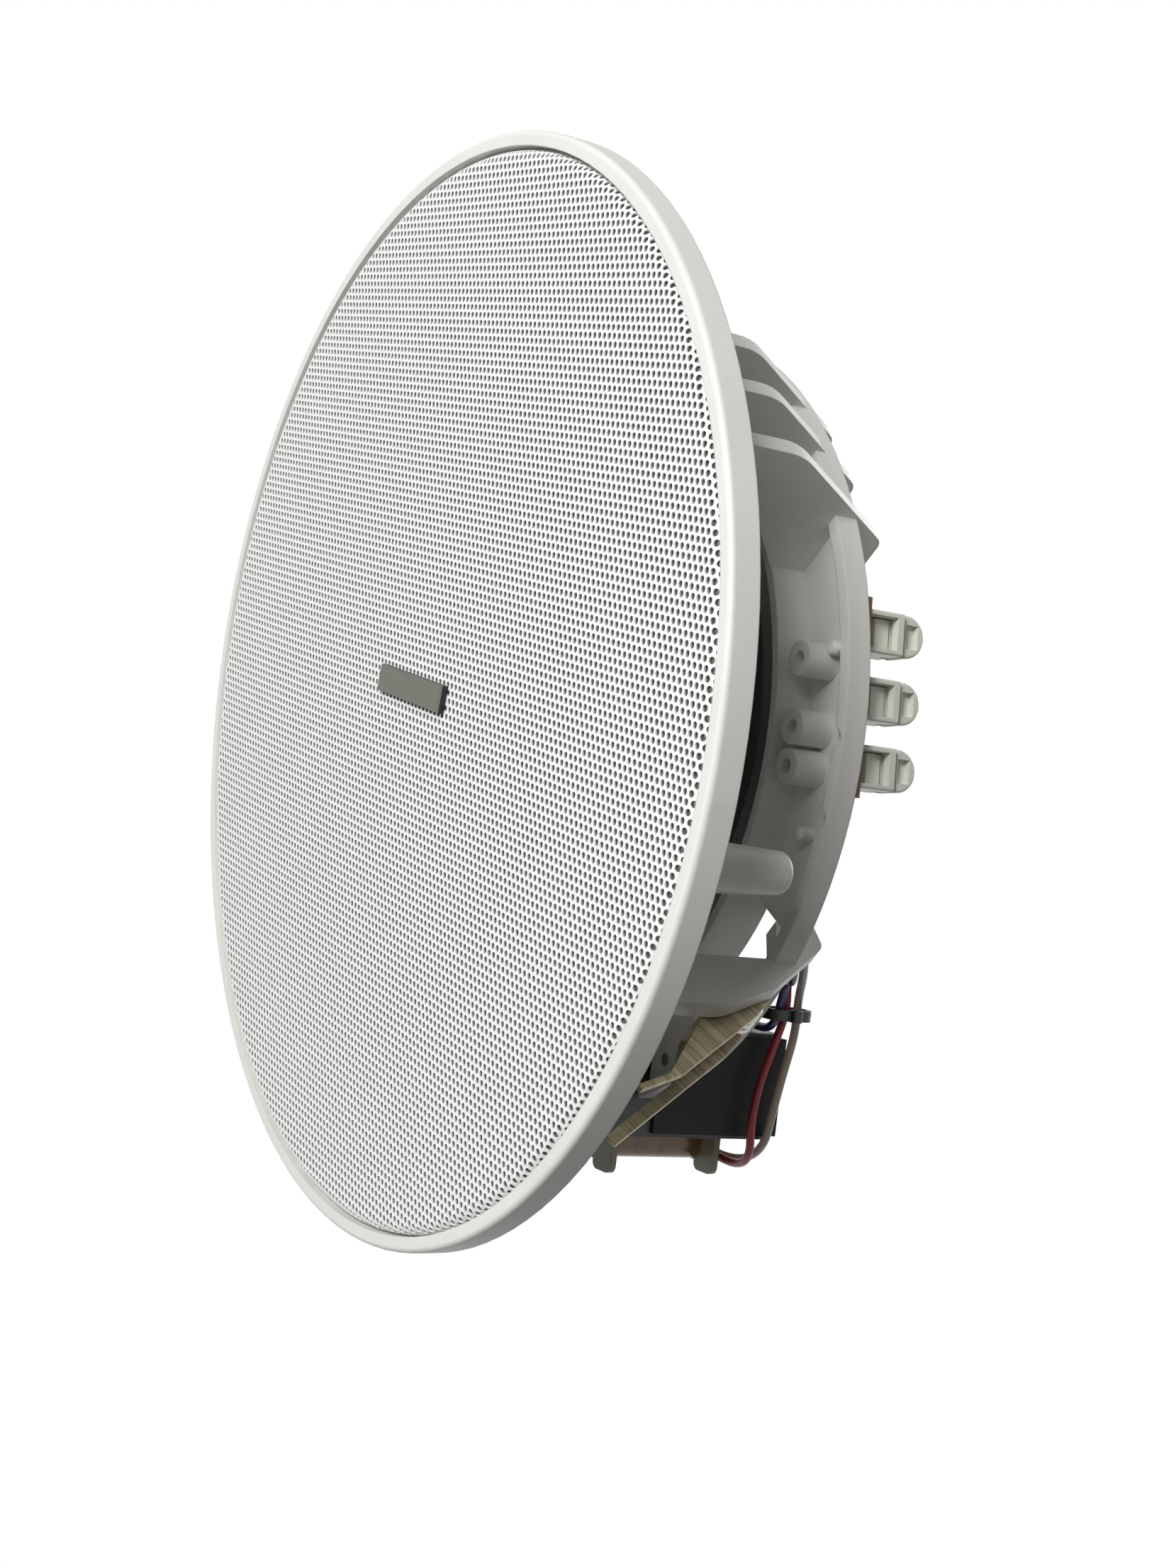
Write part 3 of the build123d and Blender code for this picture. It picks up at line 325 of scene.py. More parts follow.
class Graph:
    """A node tree that is written as expressions."""

    def __init__(self, tree: bpy.types.NodeTree) -> None:
        """Start on an empty tree.

        Args:
            tree: Node tree to fill.
        """
        self.tree = tree
        self.tree.nodes.clear()

    def node(self, kind: str, inputs: dict[Union[str, int], object], **settings: object) -> bpy.types.Node:
        """Make one node, set it and link its inputs.

        Args:
            kind: Node type.
            inputs: Wrapped sockets, nodes' sockets or plain values by input name or number.
            **settings: Attributes of the node.

        Returns:
            The new node.
        """
        made = self.tree.nodes.new(kind)
        for key, setting in settings.items():
            setattr(made, key, setting)
        for key, value in inputs.items():
            if isinstance(value, Value):
                self.tree.links.new(value.socket, made.inputs[key])
            elif isinstance(value, bpy.types.NodeSocket):
                self.tree.links.new(value, made.inputs[key])
            else:
                made.inputs[key].default_value = value
        return made

    def value(self, node: bpy.types.Node, output: Union[str, int] = 0) -> Value:
        """Wrap a node's output.

        Args:
            node: Node.
            output: Output name or number.

        Returns:
            The wrapped socket.
        """
        return Value(self, node.outputs[output])

    def maths(self, operation: str, *operands: Operand) -> Value:
        """Make a maths node.

        Args:
            operation: Maths operation.
            *operands: Wrapped sockets or numbers.

        Returns:
            Its result.
        """
        return self.value(self.node("ShaderNodeMath", dict(enumerate(operands)), operation=operation))

    def xyz(self, vector: Value) -> tuple[Value, Value, Value]:
        """Split a vector.

        Args:
            vector: Wrapped vector.

        Returns:
            Its three parts.
        """
        parts = self.node("ShaderNodeSeparateXYZ", {0: vector})
        return self.value(parts, 0), self.value(parts, 1), self.value(parts, 2)

    def vector(self, x: Operand, y: Operand, z: Operand) -> Value:
        """Join three parts into a vector.

        Args:
            x: First part.
            y: Second part.
            z: Third part.

        Returns:
            The vector.
        """
        return self.value(self.node("ShaderNodeCombineXYZ", {0: x, 1: y, 2: z}))

    def shown(self) -> Value:
        """Tell rays that show a surface from rays that only carry its light.

        Returns:
            1 for camera, transmission and glossy rays, 0 for the others.
        """
        path = self.node("ShaderNodeLightPath", {})
        rays = self.value(path, "Is Camera Ray") + self.value(path, "Is Transmission Ray")
        return self.maths("MINIMUM", rays + self.value(path, "Is Glossy Ray"), 1.0)


class ShaderGraph(Graph):
    """A material's node tree."""

    def __init__(self, name: str) -> None:
        """Make a material with an empty tree.

        Args:
            name: Material name.
        """
        self.material = bpy.data.materials.new(name)
        self.material.use_nodes = True
        super().__init__(self.material.node_tree)
        self.coordinates = self.node("ShaderNodeTexCoord", {})

    @property
    def place(self) -> Value:
        """Place on the piece, in metres."""
        return self.value(self.coordinates, "Object")

    @property
    def normal(self) -> Value:
        """Normal in the piece's own axes."""
        return self.value(self.coordinates, "Normal")

    def turned(self, degrees: float) -> tuple[Value, Value, Value]:
        """Place along axes turned about Z.

        Args:
            degrees: Turn of the first axis from X.

        Returns:
            Place along the first axis, along the second axis and up.
        """
        x, y, z = self.xyz(self.place)
        c, s = math.cos(math.radians(degrees)), math.sin(math.radians(degrees))
        return x * c + y * s, y * c - x * s, z

    def noise(self, scale: float, detail: float = 3.0, at: Value | None = None) -> Value:
        """Soft noise from 0 to 1.

        Args:
            scale: Features in a metre.
            detail: Octaves.
            at: Place to read it at, the piece's own by default.

        Returns:
            The noise.
        """
        inputs = {"Vector": at or self.place, "Scale": scale, "Detail": detail}
        return self.value(self.node("ShaderNodeTexNoise", inputs))

    def wave(self, along: Value, spacing: float) -> Value:
        """Even ripple from 0 to 1.

        Args:
            along: Distance across the ripple.
            spacing: Distance between crests.

        Returns:
            The ripple.
        """
        return self.maths("SINE", along * (2 * math.pi / spacing)) * 0.5 + 0.5

    def step(self, value: Value, low: float, high: float) -> Value:
        """Smooth change from 0 to 1 between two limits.

        Args:
            value: Value that drives it.
            low: Value at which it starts.
            high: Value at which it ends.

        Returns:
            The changed value.
        """
        inputs = {0: value, 1: low, 2: high}
        return self.value(self.node("ShaderNodeMapRange", inputs, interpolation_type="SMOOTHSTEP"))

    def blend(self, factor: Value, low: Union[Value, Colour], high: Union[Value, Colour]) -> Value:
        """Mix two colours.

        Args:
            factor: Share of the second colour.
            low: First colour.
            high: Second colour.

        Returns:
            The mixed colour.
        """
        inputs = {"Factor": factor}
        for key, colour in ((6, low), (7, high)):
            inputs[key] = colour if isinstance(colour, Value) else (*colour, 1.0)
        mixed = self.node("ShaderNodeMix", inputs, data_type="RGBA")
        return Value(self, mixed.outputs[2])

    def bump(self, height: Value, depth: float, strength: float = 1.0, edge: float = 0.0) -> Value:
        """Normal of a relief.

        Args:
            height: Relief from 0 to 1.
            depth: Metres from its lowest to its highest point.
            strength: Share of the relief that shows.
            edge: Radius of the rounding that sharp edges appear to have.

        Returns:
            The normal.
        """
        inputs: dict[Union[str, int], object] = {"Height": height, "Distance": depth, "Strength": strength}
        if edge:
            inputs["Normal"] = self.value(self.node("ShaderNodeBevel", {"Radius": edge}, samples=4))
        return self.value(self.node("ShaderNodeBump", inputs))

    def finish(self, **sockets: object) -> bpy.types.Material:
        """Close the tree with a surface shader.

        Args:
            **sockets: Shader inputs, with underscores for spaces.

        Returns:
            The material.
        """
        inputs = {key.replace("_", " "): value for key, value in sockets.items()}
        for key, value in inputs.items():
            if isinstance(value, tuple) and len(value) == 3:
                inputs[key] = (*value, 1.0)
        shader = self.node("ShaderNodeBsdfPrincipled", inputs)
        self.node("ShaderNodeOutputMaterial", {"Surface": shader.outputs[0]})
        return self.material


def shade(colour: Colour, factor: float) -> Colour:
    """Make a colour lighter or darker.

    Args:
        colour: Linear colour.
        factor: Multiplier.

    Returns:
        The changed colour.
    """
    return (colour[0] * factor, colour[1] * factor, colour[2] * factor)


def moulded(
    name: str, colour: Colour, roughness: float, grain: float, edge: float = 0.4 * MM,
) -> bpy.types.Material:
    """Moulded plastic with a fine spark-eroded grain and slight mottling.

    Args:
        name: Material name.
        colour: Linear colour.
        roughness: Mean roughness.
        grain: Depth of the grain.
        edge: Rounding of the edges.

    Returns:
        The material.
    """
    g = ShaderGraph(name)
    cloud = g.noise(45.0, 4.0)
    grit = g.noise(2600.0, 2.0)
    return g.finish(
        Base_Color=g.blend(g.step(cloud, 0.35, 0.7), shade(colour, 0.965), colour),
        Roughness=cloud * 0.12 + (roughness - 0.06),
        Normal=g.bump(grit + g.noise(160.0) * 0.6, grain, 0.6, edge),
    )


def powder_coat(name: str, colour: Colour, hole_shade: Colour, spec: GrilleSpec) -> bpy.types.Material:
    """Powder-coated sheet steel with faint orange peel, and painted shade that darkens the hole walls with
    depth.

    Args:
        name: Material name.
        colour: Linear colour.
        hole_shade: Dark grey painted as the shade on the hole walls.
        spec: Sizes of the sheet, which give the depth below its face.

    Returns:
        The material.
    """
    g = ShaderGraph(name)
    peel = g.noise(1500.0, 2.0)
    cloud = g.noise(30.0, 3.0)
    x, y, z = g.xyz(g.place)
    out = g.maths("MAXIMUM", (x * x + y * y) ** 0.5 - spec.bend_start, 0.0)
    below = g.maths("MINIMUM", z - (spec.face + spec.bend), 0.0)
    depth = spec.bend - (out * out + below * below) ** 0.5
    coat = g.blend(cloud, shade(colour, 0.97), colour)
    # Painted shade: below the face, the colour turns from the coat's white to a dark grey with depth in
    # each hole, standing in for the shade on the hole walls.
    return g.finish(
        Base_Color=g.blend(g.step(depth, spec.hole_shade_starts, spec.hole_shade_full), coat, hole_shade),
        Roughness=peel * 0.1 + 0.4,
        Normal=g.bump(peel, 0.02 * MM, 0.5),
    )


def badge_metal(name: str) -> bpy.types.Material:
    """Pewter face, brushed along its length, on a black body.

    Args:
        name: Material name.

    Returns:
        The material.
    """
    g = ShaderGraph(name)
    x, y, z = g.xyz(g.place)
    brushed = g.noise(1.0, 4.0, g.vector(x * 90.0, y * 5200.0, z))
    facing = g.step(-g.xyz(g.normal)[2], 0.5, 0.8)
    pewter = g.blend(brushed, (0.13, 0.128, 0.108), (0.23, 0.225, 0.19))
    return g.finish(
        Base_Color=g.blend(facing, (0.012, 0.012, 0.012), pewter),
        Metallic=facing * 0.75,
        Roughness=brushed * 0.2 + 0.32,
        Normal=g.bump(brushed, 0.01 * MM, 0.4),
    )


def plated(name: str, low: Colour, high: Colour, roughness: float) -> bpy.types.Material:
    """Plated steel with the cloudy colour of its passivation.

    Args:
        name: Material name.
        low: Darker colour.
        high: Lighter colour.
        roughness: Mean roughness.

    Returns:
        The material.
    """
    g = ShaderGraph(name)
    cloud = g.noise(130.0, 5.0)
    scratch = g.noise(1400.0, 2.0)
    return g.finish(
        Base_Color=g.blend(g.step(cloud, 0.3, 0.7), low, high),
        Metallic=0.9,
        Roughness=cloud * 0.25 + (roughness - 0.12),
        Normal=g.bump(scratch, 0.02 * MM, 0.4, 0.2 * MM),
    )


def rolled_zinc(name: str, low: Colour, high: Colour) -> bpy.types.Material:
    """Yellow zinc on a clip arm, with fine press marks across its blades.

    Args:
        name: Material name.
        low: Darker colour.
        high: Lighter colour.

    Returns:
        The material.
    """
    g = ShaderGraph(name)
    outwards, sideways, up = g.turned(CLIP_AZIMUTH)
    lean = math.radians(CLIP_ANGLE)
    along = abs(outwards) * math.cos(lean) + up * math.sin(lean)
    marks = g.noise(1.0, 3.0, g.vector(along * 1500.0, sideways * 40.0, up * 40.0))
    cloud = g.noise(130.0, 5.0)
    return g.finish(
        Base_Color=g.blend(g.step(marks * 0.6 + cloud * 0.4, 0.35, 0.7), low, high),
        Metallic=0.75,
        Roughness=cloud * 0.2 + 0.34,
        Normal=g.bump(marks, 0.12 * MM, 0.6, 0.2 * MM),
    )


def varnished(name: str, colour: Colour) -> bpy.types.Material:
    """Dark varnish over steel, dull where it has run thinner.

    Args:
        name: Material name.
        colour: Linear colour.

    Returns:
        The material.
    """
    g = ShaderGraph(name)
    x, y, z = g.xyz(g.place)
    runs = g.noise(60.0, 4.0, g.vector(x, y, z * 0.25))
    return g.finish(
        Base_Color=g.blend(g.step(runs, 0.3, 0.75), shade(colour, 0.6), shade(colour, 1.25)),
        Metallic=0.1,
        Specular_IOR_Level=0.2,
        Roughness=runs * 0.25 + 0.4,
        Normal=g.bump(runs + g.noise(900.0) * 0.15, 0.12 * MM, 0.5, 0.3 * MM),
    )


def laminated(name: str, colour: Colour, degrees: float, sheet: float) -> bpy.types.Material:
    """Stack of steel laminations seen on edge.

    Args:
        name: Material name.
        colour: Linear colour.
        degrees: Direction in which they are stacked.
        sheet: Thickness of one.

    Returns:
        The material.
    """
    g = ShaderGraph(name)
    along, across, up = g.turned(degrees)
    uneven = g.noise(1.0, 2.0, g.vector(along * 900.0, across * 8.0, up * 8.0))
    gap = g.wave(along, sheet)
    return g.finish(
        Base_Color=g.blend(gap * uneven, shade(colour, 0.35), shade(colour, 1.3)),
        Metallic=0.7,
        Roughness=uneven * 0.3 + 0.35,
        Normal=g.bump(gap * 0.6 + uneven * 0.4, 0.1 * MM, 0.7),
    )


def wound_tape(name: str) -> bpy.types.Material:
    """Amber film tape wound over a coil, with overlapping edges.

    Args:
        name: Material name.

    Returns:
        The material.
    """
    g = ShaderGraph(name)
    x, y, z = g.xyz(g.place)
    wander = g.noise(35.0, 2.0) * 0.004
    lap = ((z + wander) / (6.5 * MM)) % 1.0
    blotch = g.noise(90.0, 4.0)
    colour = g.blend(g.step(lap, 0.0, 0.9), (0.13, 0.055, 0.008), (0.28, 0.145, 0.028))
    return g.finish(
        Base_Color=g.blend(g.step(blotch, 0.45, 0.8) * 0.5, colour, (0.36, 0.23, 0.07)),
        Roughness=blotch * 0.2 + 0.2,
        Coat_Weight=0.4,
        Normal=g.bump(lap + blotch * 0.2, 0.12 * MM, 0.5),
    )


def insulation(name: str, colour: Colour) -> bpy.types.Material:
    """Glossy extruded wire insulation.

    Args:
        name: Material name.
        colour: Linear colour.

    Returns:
        The material.
    """
    g = ShaderGraph(name)
    cloud = g.noise(220.0, 3.0)
    return g.finish(
        Base_Color=g.blend(cloud, shade(colour, 0.75), shade(colour, 1.15)),
        Roughness=cloud * 0.15 + 0.28,
        Normal=g.bump(g.noise(700.0), 0.03 * MM, 0.3),
    )


def ringed(name: str, colour: Colour, spacing: float, depth: float, roughness: float) -> bpy.types.Material:
    """Pressed paper, cloth or rubber with rings about the speaker's axis.

    Args:
        name: Material name.
        colour: Linear colour.
        spacing: Distance between rings.
        depth: Depth of the rings.
        roughness: Mean roughness.

    Returns:
        The material.
    """
    g = ShaderGraph(name)
    x, y, _ = g.xyz(g.place)
    ring = g.wave((x * x + y * y) ** 0.5, spacing)
    fibre = g.noise(800.0, 5.0)
    return g.finish(
        Base_Color=g.blend(fibre, shade(colour, 0.6), shade(colour, 1.4)),
        Roughness=fibre * 0.2 + (roughness - 0.1),
        Normal=g.bump(ring + fibre * 0.4, depth, 0.6),
    )


def painted(name: str, colour: Colour, roughness: float) -> bpy.types.Material:
    """Black paint or ferrite with a pitted surface.

    Args:
        name: Material name.
        colour: Linear colour.
        roughness: Mean roughness.

    Returns:
        The material.
    """
    g = ShaderGraph(name)
    pits = g.noise(1100.0, 4.0)
    return g.finish(
        Base_Color=g.blend(g.noise(60.0), shade(colour, 0.7), shade(colour, 1.3)),
        Specular_IOR_Level=0.25,
        Roughness=pits * 0.2 + (roughness - 0.1),
        Normal=g.bump(pits, 0.06 * MM, 0.5, 0.3 * MM),
    )


def laminate_board(name: str) -> bpy.types.Material:
    """Brown paper laminate, layered on its edges.

    Args:
        name: Material name.

    Returns:
        The material.
    """
    g = ShaderGraph(name)
    x, y, z = g.xyz(g.place)
    layers = g.noise(1.0, 3.0, g.vector(x * 120.0, y * 120.0, z * 5000.0))
    return g.finish(
        Base_Color=g.blend(layers, (0.11, 0.05, 0.02), (0.25, 0.13, 0.055)),
        Roughness=layers * 0.2 + 0.4,
        Normal=g.bump(layers, 0.05 * MM, 0.5),
    )


def wound_copper(name: str, spacing: float) -> bpy.types.Material:
    """Enamelled copper wire wound round the speaker's axis.

    Args:
        name: Material name.
        spacing: Distance between turns.

    Returns:
        The material.
    """
    g = ShaderGraph(name)
    turn = g.wave(g.xyz(g.place)[2], spacing)
    return g.finish(
        Base_Color=g.blend(turn, (0.22, 0.07, 0.02), (0.65, 0.28, 0.1)),
        Metallic=0.8,
        Roughness=turn * 0.1 + 0.25,
        Normal=g.bump(turn, 0.1 * MM, 0.8),
    )


def finishes() -> dict[Slot, bpy.types.Material]:
    """Make every finish.

    Returns:
        One material for each slot.
    """
    return {
        Slot.MOULDING: moulded("moulding", (0.80, 0.79, 0.745), 0.42, 0.015 * MM),
        # The dark grey after the coat's white is painted shade for the hole walls.
        Slot.GRILLE: powder_coat("grille_coat", (0.93, 0.93, 0.92), (0.17, 0.17, 0.168), GrilleSpec()),
        Slot.BADGE: badge_metal("badge_face"),
        Slot.TERMINAL: moulded("terminal_nylon", (0.78, 0.78, 0.70), 0.34, 0.01 * MM, 0.25 * MM),
        Slot.BOARD: laminate_board("laminate"),
        Slot.CONTACT: plated("contact_tin", (0.42, 0.40, 0.33), (0.62, 0.59, 0.5), 0.3),
        Slot.ZINC: rolled_zinc("yellow_zinc", (0.16, 0.135, 0.075), (0.36, 0.32, 0.21)),
        Slot.SPRING: plated("spring_wire", (0.30, 0.30, 0.29), (0.52, 0.52, 0.5), 0.3),
        Slot.SCREW: plated("screw_zinc", (0.45, 0.45, 0.44), (0.68, 0.68, 0.66), 0.3),
        Slot.STRAP: varnished("strap_varnish", (0.014, 0.0145, 0.0140)),
        Slot.CORE: laminated("laminations", (0.09, 0.09, 0.09), CORE_AZIMUTH, 0.5 * MM),
        Slot.BOBBIN: moulded("bobbin_nylon", (0.40, 0.385, 0.31), 0.4, 0.02 * MM),
        Slot.TAPE: wound_tape("amber_tape"),
        Slot.RED: insulation("insulation_red", (0.36, 0.008, 0.025)),
        Slot.CREAM: insulation("insulation_cream", (0.66, 0.62, 0.5)),
        Slot.BLUE: insulation("insulation_blue", (0.012, 0.016, 0.11)),
        Slot.BLACK: insulation("insulation_black", (0.012, 0.012, 0.012)),
        Slot.TIE: moulded("tie_nylon", (0.014, 0.014, 0.014), 0.4, 0.02 * MM),
        Slot.BASKET: painted("basket_paint", (0.016, 0.016, 0.016), 0.45),
        Slot.PAPER: ringed("cone_paper", (0.02, 0.02, 0.02), 4.0 * MM, 0.15 * MM, 0.8),
        Slot.RUBBER: ringed("surround_rubber", (0.015, 0.015, 0.015), 2.5 * MM, 0.1 * MM, 0.55),
        Slot.CLOTH: ringed("spider_cloth", (0.32, 0.20, 0.06), 3.5 * MM, 0.6 * MM, 0.75),
        Slot.FERRITE: painted("ferrite", (0.04, 0.04, 0.042), 0.6),
        Slot.POLE: plated("pole_zinc", (0.43, 0.43, 0.415), (0.50, 0.50, 0.485), 0.38),
        Slot.COPPER: wound_copper("coil_copper", 0.3 * MM),
        Slot.FILM: moulded("former_film", (0.35, 0.2, 0.06), 0.3, 0.01 * MM),
    }


class GeometryGraph(Graph):
    """A geometry node tree with one geometry output."""

    def __init__(self, name: str) -> None:
        """Make an empty tree.

        Args:
            name: Name of the node group.
        """
        tree = bpy.data.node_groups.new(name, "GeometryNodeTree")
        tree.interface.new_socket("Geometry", in_out="INPUT", socket_type="NodeSocketGeometry")
        tree.interface.new_socket("Geometry", in_out="OUTPUT", socket_type="NodeSocketGeometry")
        super().__init__(tree)

    @property
    def position(self) -> Value:
        """Position of each point."""
        return self.value(self.node("GeometryNodeInputPosition", {}))

    def join(self, *parts: Value) -> Value:
        """Join geometries.

        Args:
            *parts: Geometries, in order.

        Returns:
            One geometry of all parts.
        """
        joined = self.node("GeometryNodeJoinGeometry", {})
        for part in parts:
            self.tree.links.new(part.socket, joined.inputs[0])
        return self.value(joined)

    def finish(self, geometry: Value) -> None:
        """Send a geometry to the output.

        Args:
            geometry: Geometry to show.
        """
        self.node("NodeGroupOutput", {0: geometry})


class PerforatedSheet:
    """Perforated grille whose holes stand in a triangular lattice and run over the rolled edge."""

    def __init__(self, spec: GrilleSpec, material: bpy.types.Material) -> None:
        """Keep the sizes.

        Args:
            spec: Sizes of the sheet.
            material: Its finish.
        """
        self.spec = spec
        self.material = material

    def lattice(self, g: GeometryGraph, first_row: int, last_row: int) -> Value:
        """Make the lattice of hole centres in a band of rows.

        Args:
            g: Graph to add it to.
            first_row: First row, counted from the axis.
            last_row: Last row.

        Returns:
            Points, one for each cell.
        """
        s = self.spec
        columns = 2 * math.ceil(s.covered / s.pitch) + 1
        rows = last_row - first_row + 1
        grid = g.node("GeometryNodeMeshGrid", {
            "Size X": (columns - 1) * s.pitch, "Size Y": (rows - 1) * s.row_spacing,
            "Vertices X": columns, "Vertices Y": rows,
        })
        middle = (first_row + last_row) / 2 * s.row_spacing
        x, y, _ = g.xyz(g.position)
        row = g.maths("ROUND", (y + middle) / s.row_spacing)
        shifted = g.vector(x + (row % 2.0) * (s.pitch / 2), y + middle, 0.0)
        moved = g.node("GeometryNodeSetPosition", {"Geometry": grid.outputs[0], "Position": shifted})
        points = g.node("GeometryNodeMeshToPoints", {"Mesh": moved.outputs[0]})
        return g.value(points)

    def reach(self, g: GeometryGraph) -> Value:
        """Distance of each point from the axis, along the sheet.

        Args:
            g: Graph to add it to.

        Returns:
            The distance.
        """
        x, y, _ = g.xyz(g.position)
        return (x * x + y * y) ** 0.5

    def rolled(self, g: GeometryGraph, geometry: Value) -> Value:
        """Bend a flat sheet over the rolled edge.

        Args:
            g: Graph to add it to.
            geometry: Flat sheet, with depth along Z.

        Returns:
            The bent sheet.
        """
        s = self.spec
        x, y, depth = g.xyz(g.position)
        reach = self.reach(g)
        turn = g.maths("MINIMUM", g.maths("MAXIMUM", (reach - s.bend_start) / s.bend, 0.0), math.pi / 2)
        past = g.maths("MAXIMUM", reach - (s.bend_start + s.bend * math.pi / 2), 0.0)
        inner = s.bend - depth
        radius = g.maths("MINIMUM", reach, s.bend_start) + inner * g.maths("SINE", turn)
        height = (s.face + s.bend) - inner * g.maths("COSINE", turn) + past
        bent = g.vector(x / reach * radius, y / reach * radius, height)
        return g.value(g.node("GeometryNodeSetPosition", {"Geometry": geometry, "Position": bent}))

    def copies(self, g: GeometryGraph, points: Value, cell: Value, chosen: Value) -> Value:
        """Repeat a cell on the chosen points.

        Args:
            g: Graph to add it to.
            points: Lattice.
            cell: Mesh to repeat.
            chosen: Which points get one.

        Returns:
            One mesh of all copies.
        """
        spread = g.node("GeometryNodeInstanceOnPoints", {
            "Points": points, "Selection": chosen, "Instance": cell,
        })
        return g.value(g.node("GeometryNodeRealizeInstances", {"Geometry": spread.outputs[0]}))

    def circle(self, g: GeometryGraph, sides: int, radius: float, turn: float) -> Value:
        """Closed outline of a regular polygon, running clockwise so that its fill faces down.

        Args:
            g: Graph to add it to.
            sides: Number of sides.
            radius: Distance of its corners from the middle.
            turn: Angle of its first corner.

        Returns:
            The outline as a curve.
        """
        made = g.node("GeometryNodeCurvePrimitiveCircle", {"Resolution": sides, "Radius": radius})
        placed = g.node("GeometryNodeTransform", {
            "Geometry": made.outputs[0], "Rotation": (math.pi, 0.0, turn),
        })
        return g.value(placed)

    def filled(self, g: GeometryGraph, *outlines: Value) -> Value:
        """Fill outlines, leaving the inner ones open.

        Args:
            g: Graph to add it to.
            *outlines: Closed curves.

        Returns:
            The filled mesh.
        """
        fill = g.node("GeometryNodeFillCurve", {"Curve": g.join(*outlines)})
        turned = g.node("GeometryNodeTransform", {
            "Geometry": fill.outputs[0], "Rotation": (math.pi, 0.0, 0.0),
        })
        return g.value(turned)

    def band(self, number: int, first_row: int, last_row: int) -> bpy.types.Object:
        """Make one band of the sheet.

        Args:
            number: Band number, for its name.
            first_row: First row of holes.
            last_row: Last row of holes.

        Returns:
            The band as an object.
        """
        s = self.spec
        g = GeometryGraph(f"perforation_{number}")
        points = self.lattice(g, first_row, last_row)
        reach = self.reach(g)
        punched = reach < s.punched
        plain = punched < (reach < s.covered)
        corner = s.pitch / math.sqrt(3)
        hexagon = self.circle(g, 6, corner, math.pi / 6)
        hole = self.circle(g, s.hole_sides, s.hole / 2, 0.0)
        open_cells = self.copies(g, points, self.filled(g, hexagon, hole), punched)
        plain_cells = self.copies(g, points, self.filled(g, hexagon), plain)
        skin = self.rolled(g, g.join(open_cells, plain_cells))
        skin = g.value(g.node("GeometryNodeMergeByDistance", {"Geometry": skin, "Distance": 0.01 * MM}))
        outline = g.node("GeometryNodeCurveToMesh", {"Curve": hole})
        wall = g.node("GeometryNodeExtrudeMesh", {
            "Mesh": outline.outputs[0], "Offset": g.vector(0.0, 0.0, 1.0), "Offset Scale": s.sheet,
        }, mode="EDGES")
        walls = self.rolled(g, self.copies(g, points, g.value(wall), punched))
        smooth = g.node("GeometryNodeSetShadeSmooth", {"Geometry": g.join(skin, walls)})
        coated = g.node("GeometryNodeSetMaterial", {
            "Geometry": smooth.outputs[0], "Material": self.material,
        })
        g.finish(g.value(coated))
        return evaluated(f"grille_band_{number}", g.tree)

    def build(self) -> list[bpy.types.Object]:
        """Make every band and the plain skirt.

        Returns:
            The pieces.
        """
        s = self.spec
        last = math.ceil(s.covered / s.row_spacing)
        share = round(s.middle_share * last)
        edges = ((-last, -share - 1), (-share, share), (share + 1, last))
        pieces = [self.band(number, *rows) for number, rows in enumerate(edges, start=1)]
        pieces.append(self.skirt())
        return pieces

    def skirt(self) -> bpy.types.Object:
        """Make the plain band of sheet that runs from the roll down to the pan.

        Returns:
            The skirt as an object.
        """
        s = self.spec
        turns = [math.radians(angle) for angle in s.skirt_turns]

        def on_roll(radius: float, turn: float) -> tuple[float, float]:
            """Find a point of the roll's section.

            Args:
                radius: Distance from the roll's centre.
                turn: Angle round it, from the front face.

            Returns:
                Its distance from the axis and its height.
            """
            return (s.bend_start + radius * math.sin(turn), s.face + s.bend - radius * math.cos(turn))

        profile = [on_roll(s.bend - s.skirt_gap, turn) for turn in turns]
        profile += [(s.radius - s.skirt_gap, s.skirt_end), (s.radius - s.sheet, s.skirt_end)]
        profile += [on_roll(s.bend - s.sheet, turn) for turn in reversed(turns)]
        return lathe("grille_skirt", profile, s.skirt_sides, self.material)


def add_object(name: str, data: bpy.types.ID) -> bpy.types.Object:
    """Make an object and put it in the scene.

    Args:
        name: Object name.
        data: Mesh, curve, camera or light.

    Returns:
        The object.
    """
    made = bpy.data.objects.new(name, data)
    bpy.context.scene.collection.objects.link(made)
    return made


def evaluated(name: str, tree: bpy.types.NodeTree) -> bpy.types.Object:
    """Run a geometry node tree once and keep its mesh.

    Args:
        name: Object name.
        tree: Geometry node tree.

    Returns:
        A plain mesh object.
    """
    seed = add_object(f"{name}_seed", bpy.data.meshes.new(f"{name}_seed"))
    modifier = seed.modifiers.new("nodes", "NODES")
    modifier.node_group = tree
    depsgraph = bpy.context.evaluated_depsgraph_get()
    mesh = bpy.data.meshes.new_from_object(seed.evaluated_get(depsgraph))
    mesh.name = name
    bpy.data.objects.remove(seed)
    return add_object(name, mesh)


def lathe(name: str, profile: Sequence[tuple[float, float]], sides: int,
          material: bpy.types.Material) -> bpy.types.Object:
    """Turn a closed profile about the speaker's axis.

    Args:
        name: Object name.
        profile: Radius and height of each point.
        sides: Facets round the axis.
        material: Finish.

    Returns:
        The turned object.
    """
    count = len(profile)
    vertices = []
    faces = []
    for side in range(sides):
        a = 2 * math.pi * side / sides
        vertices += [(r * math.cos(a), r * math.sin(a), z) for r, z in profile]
        for k in range(count):
            after = (k + 1) % count
            here, there = side * count, (side + 1) % sides * count
            faces.append((here + k, there + k, there + after, here + after))
    mesh = bpy.data.meshes.new(name)
    mesh.from_pydata(vertices, [], faces)
    mesh.shade_smooth()
    mesh.materials.append(material)
    return add_object(name, mesh)


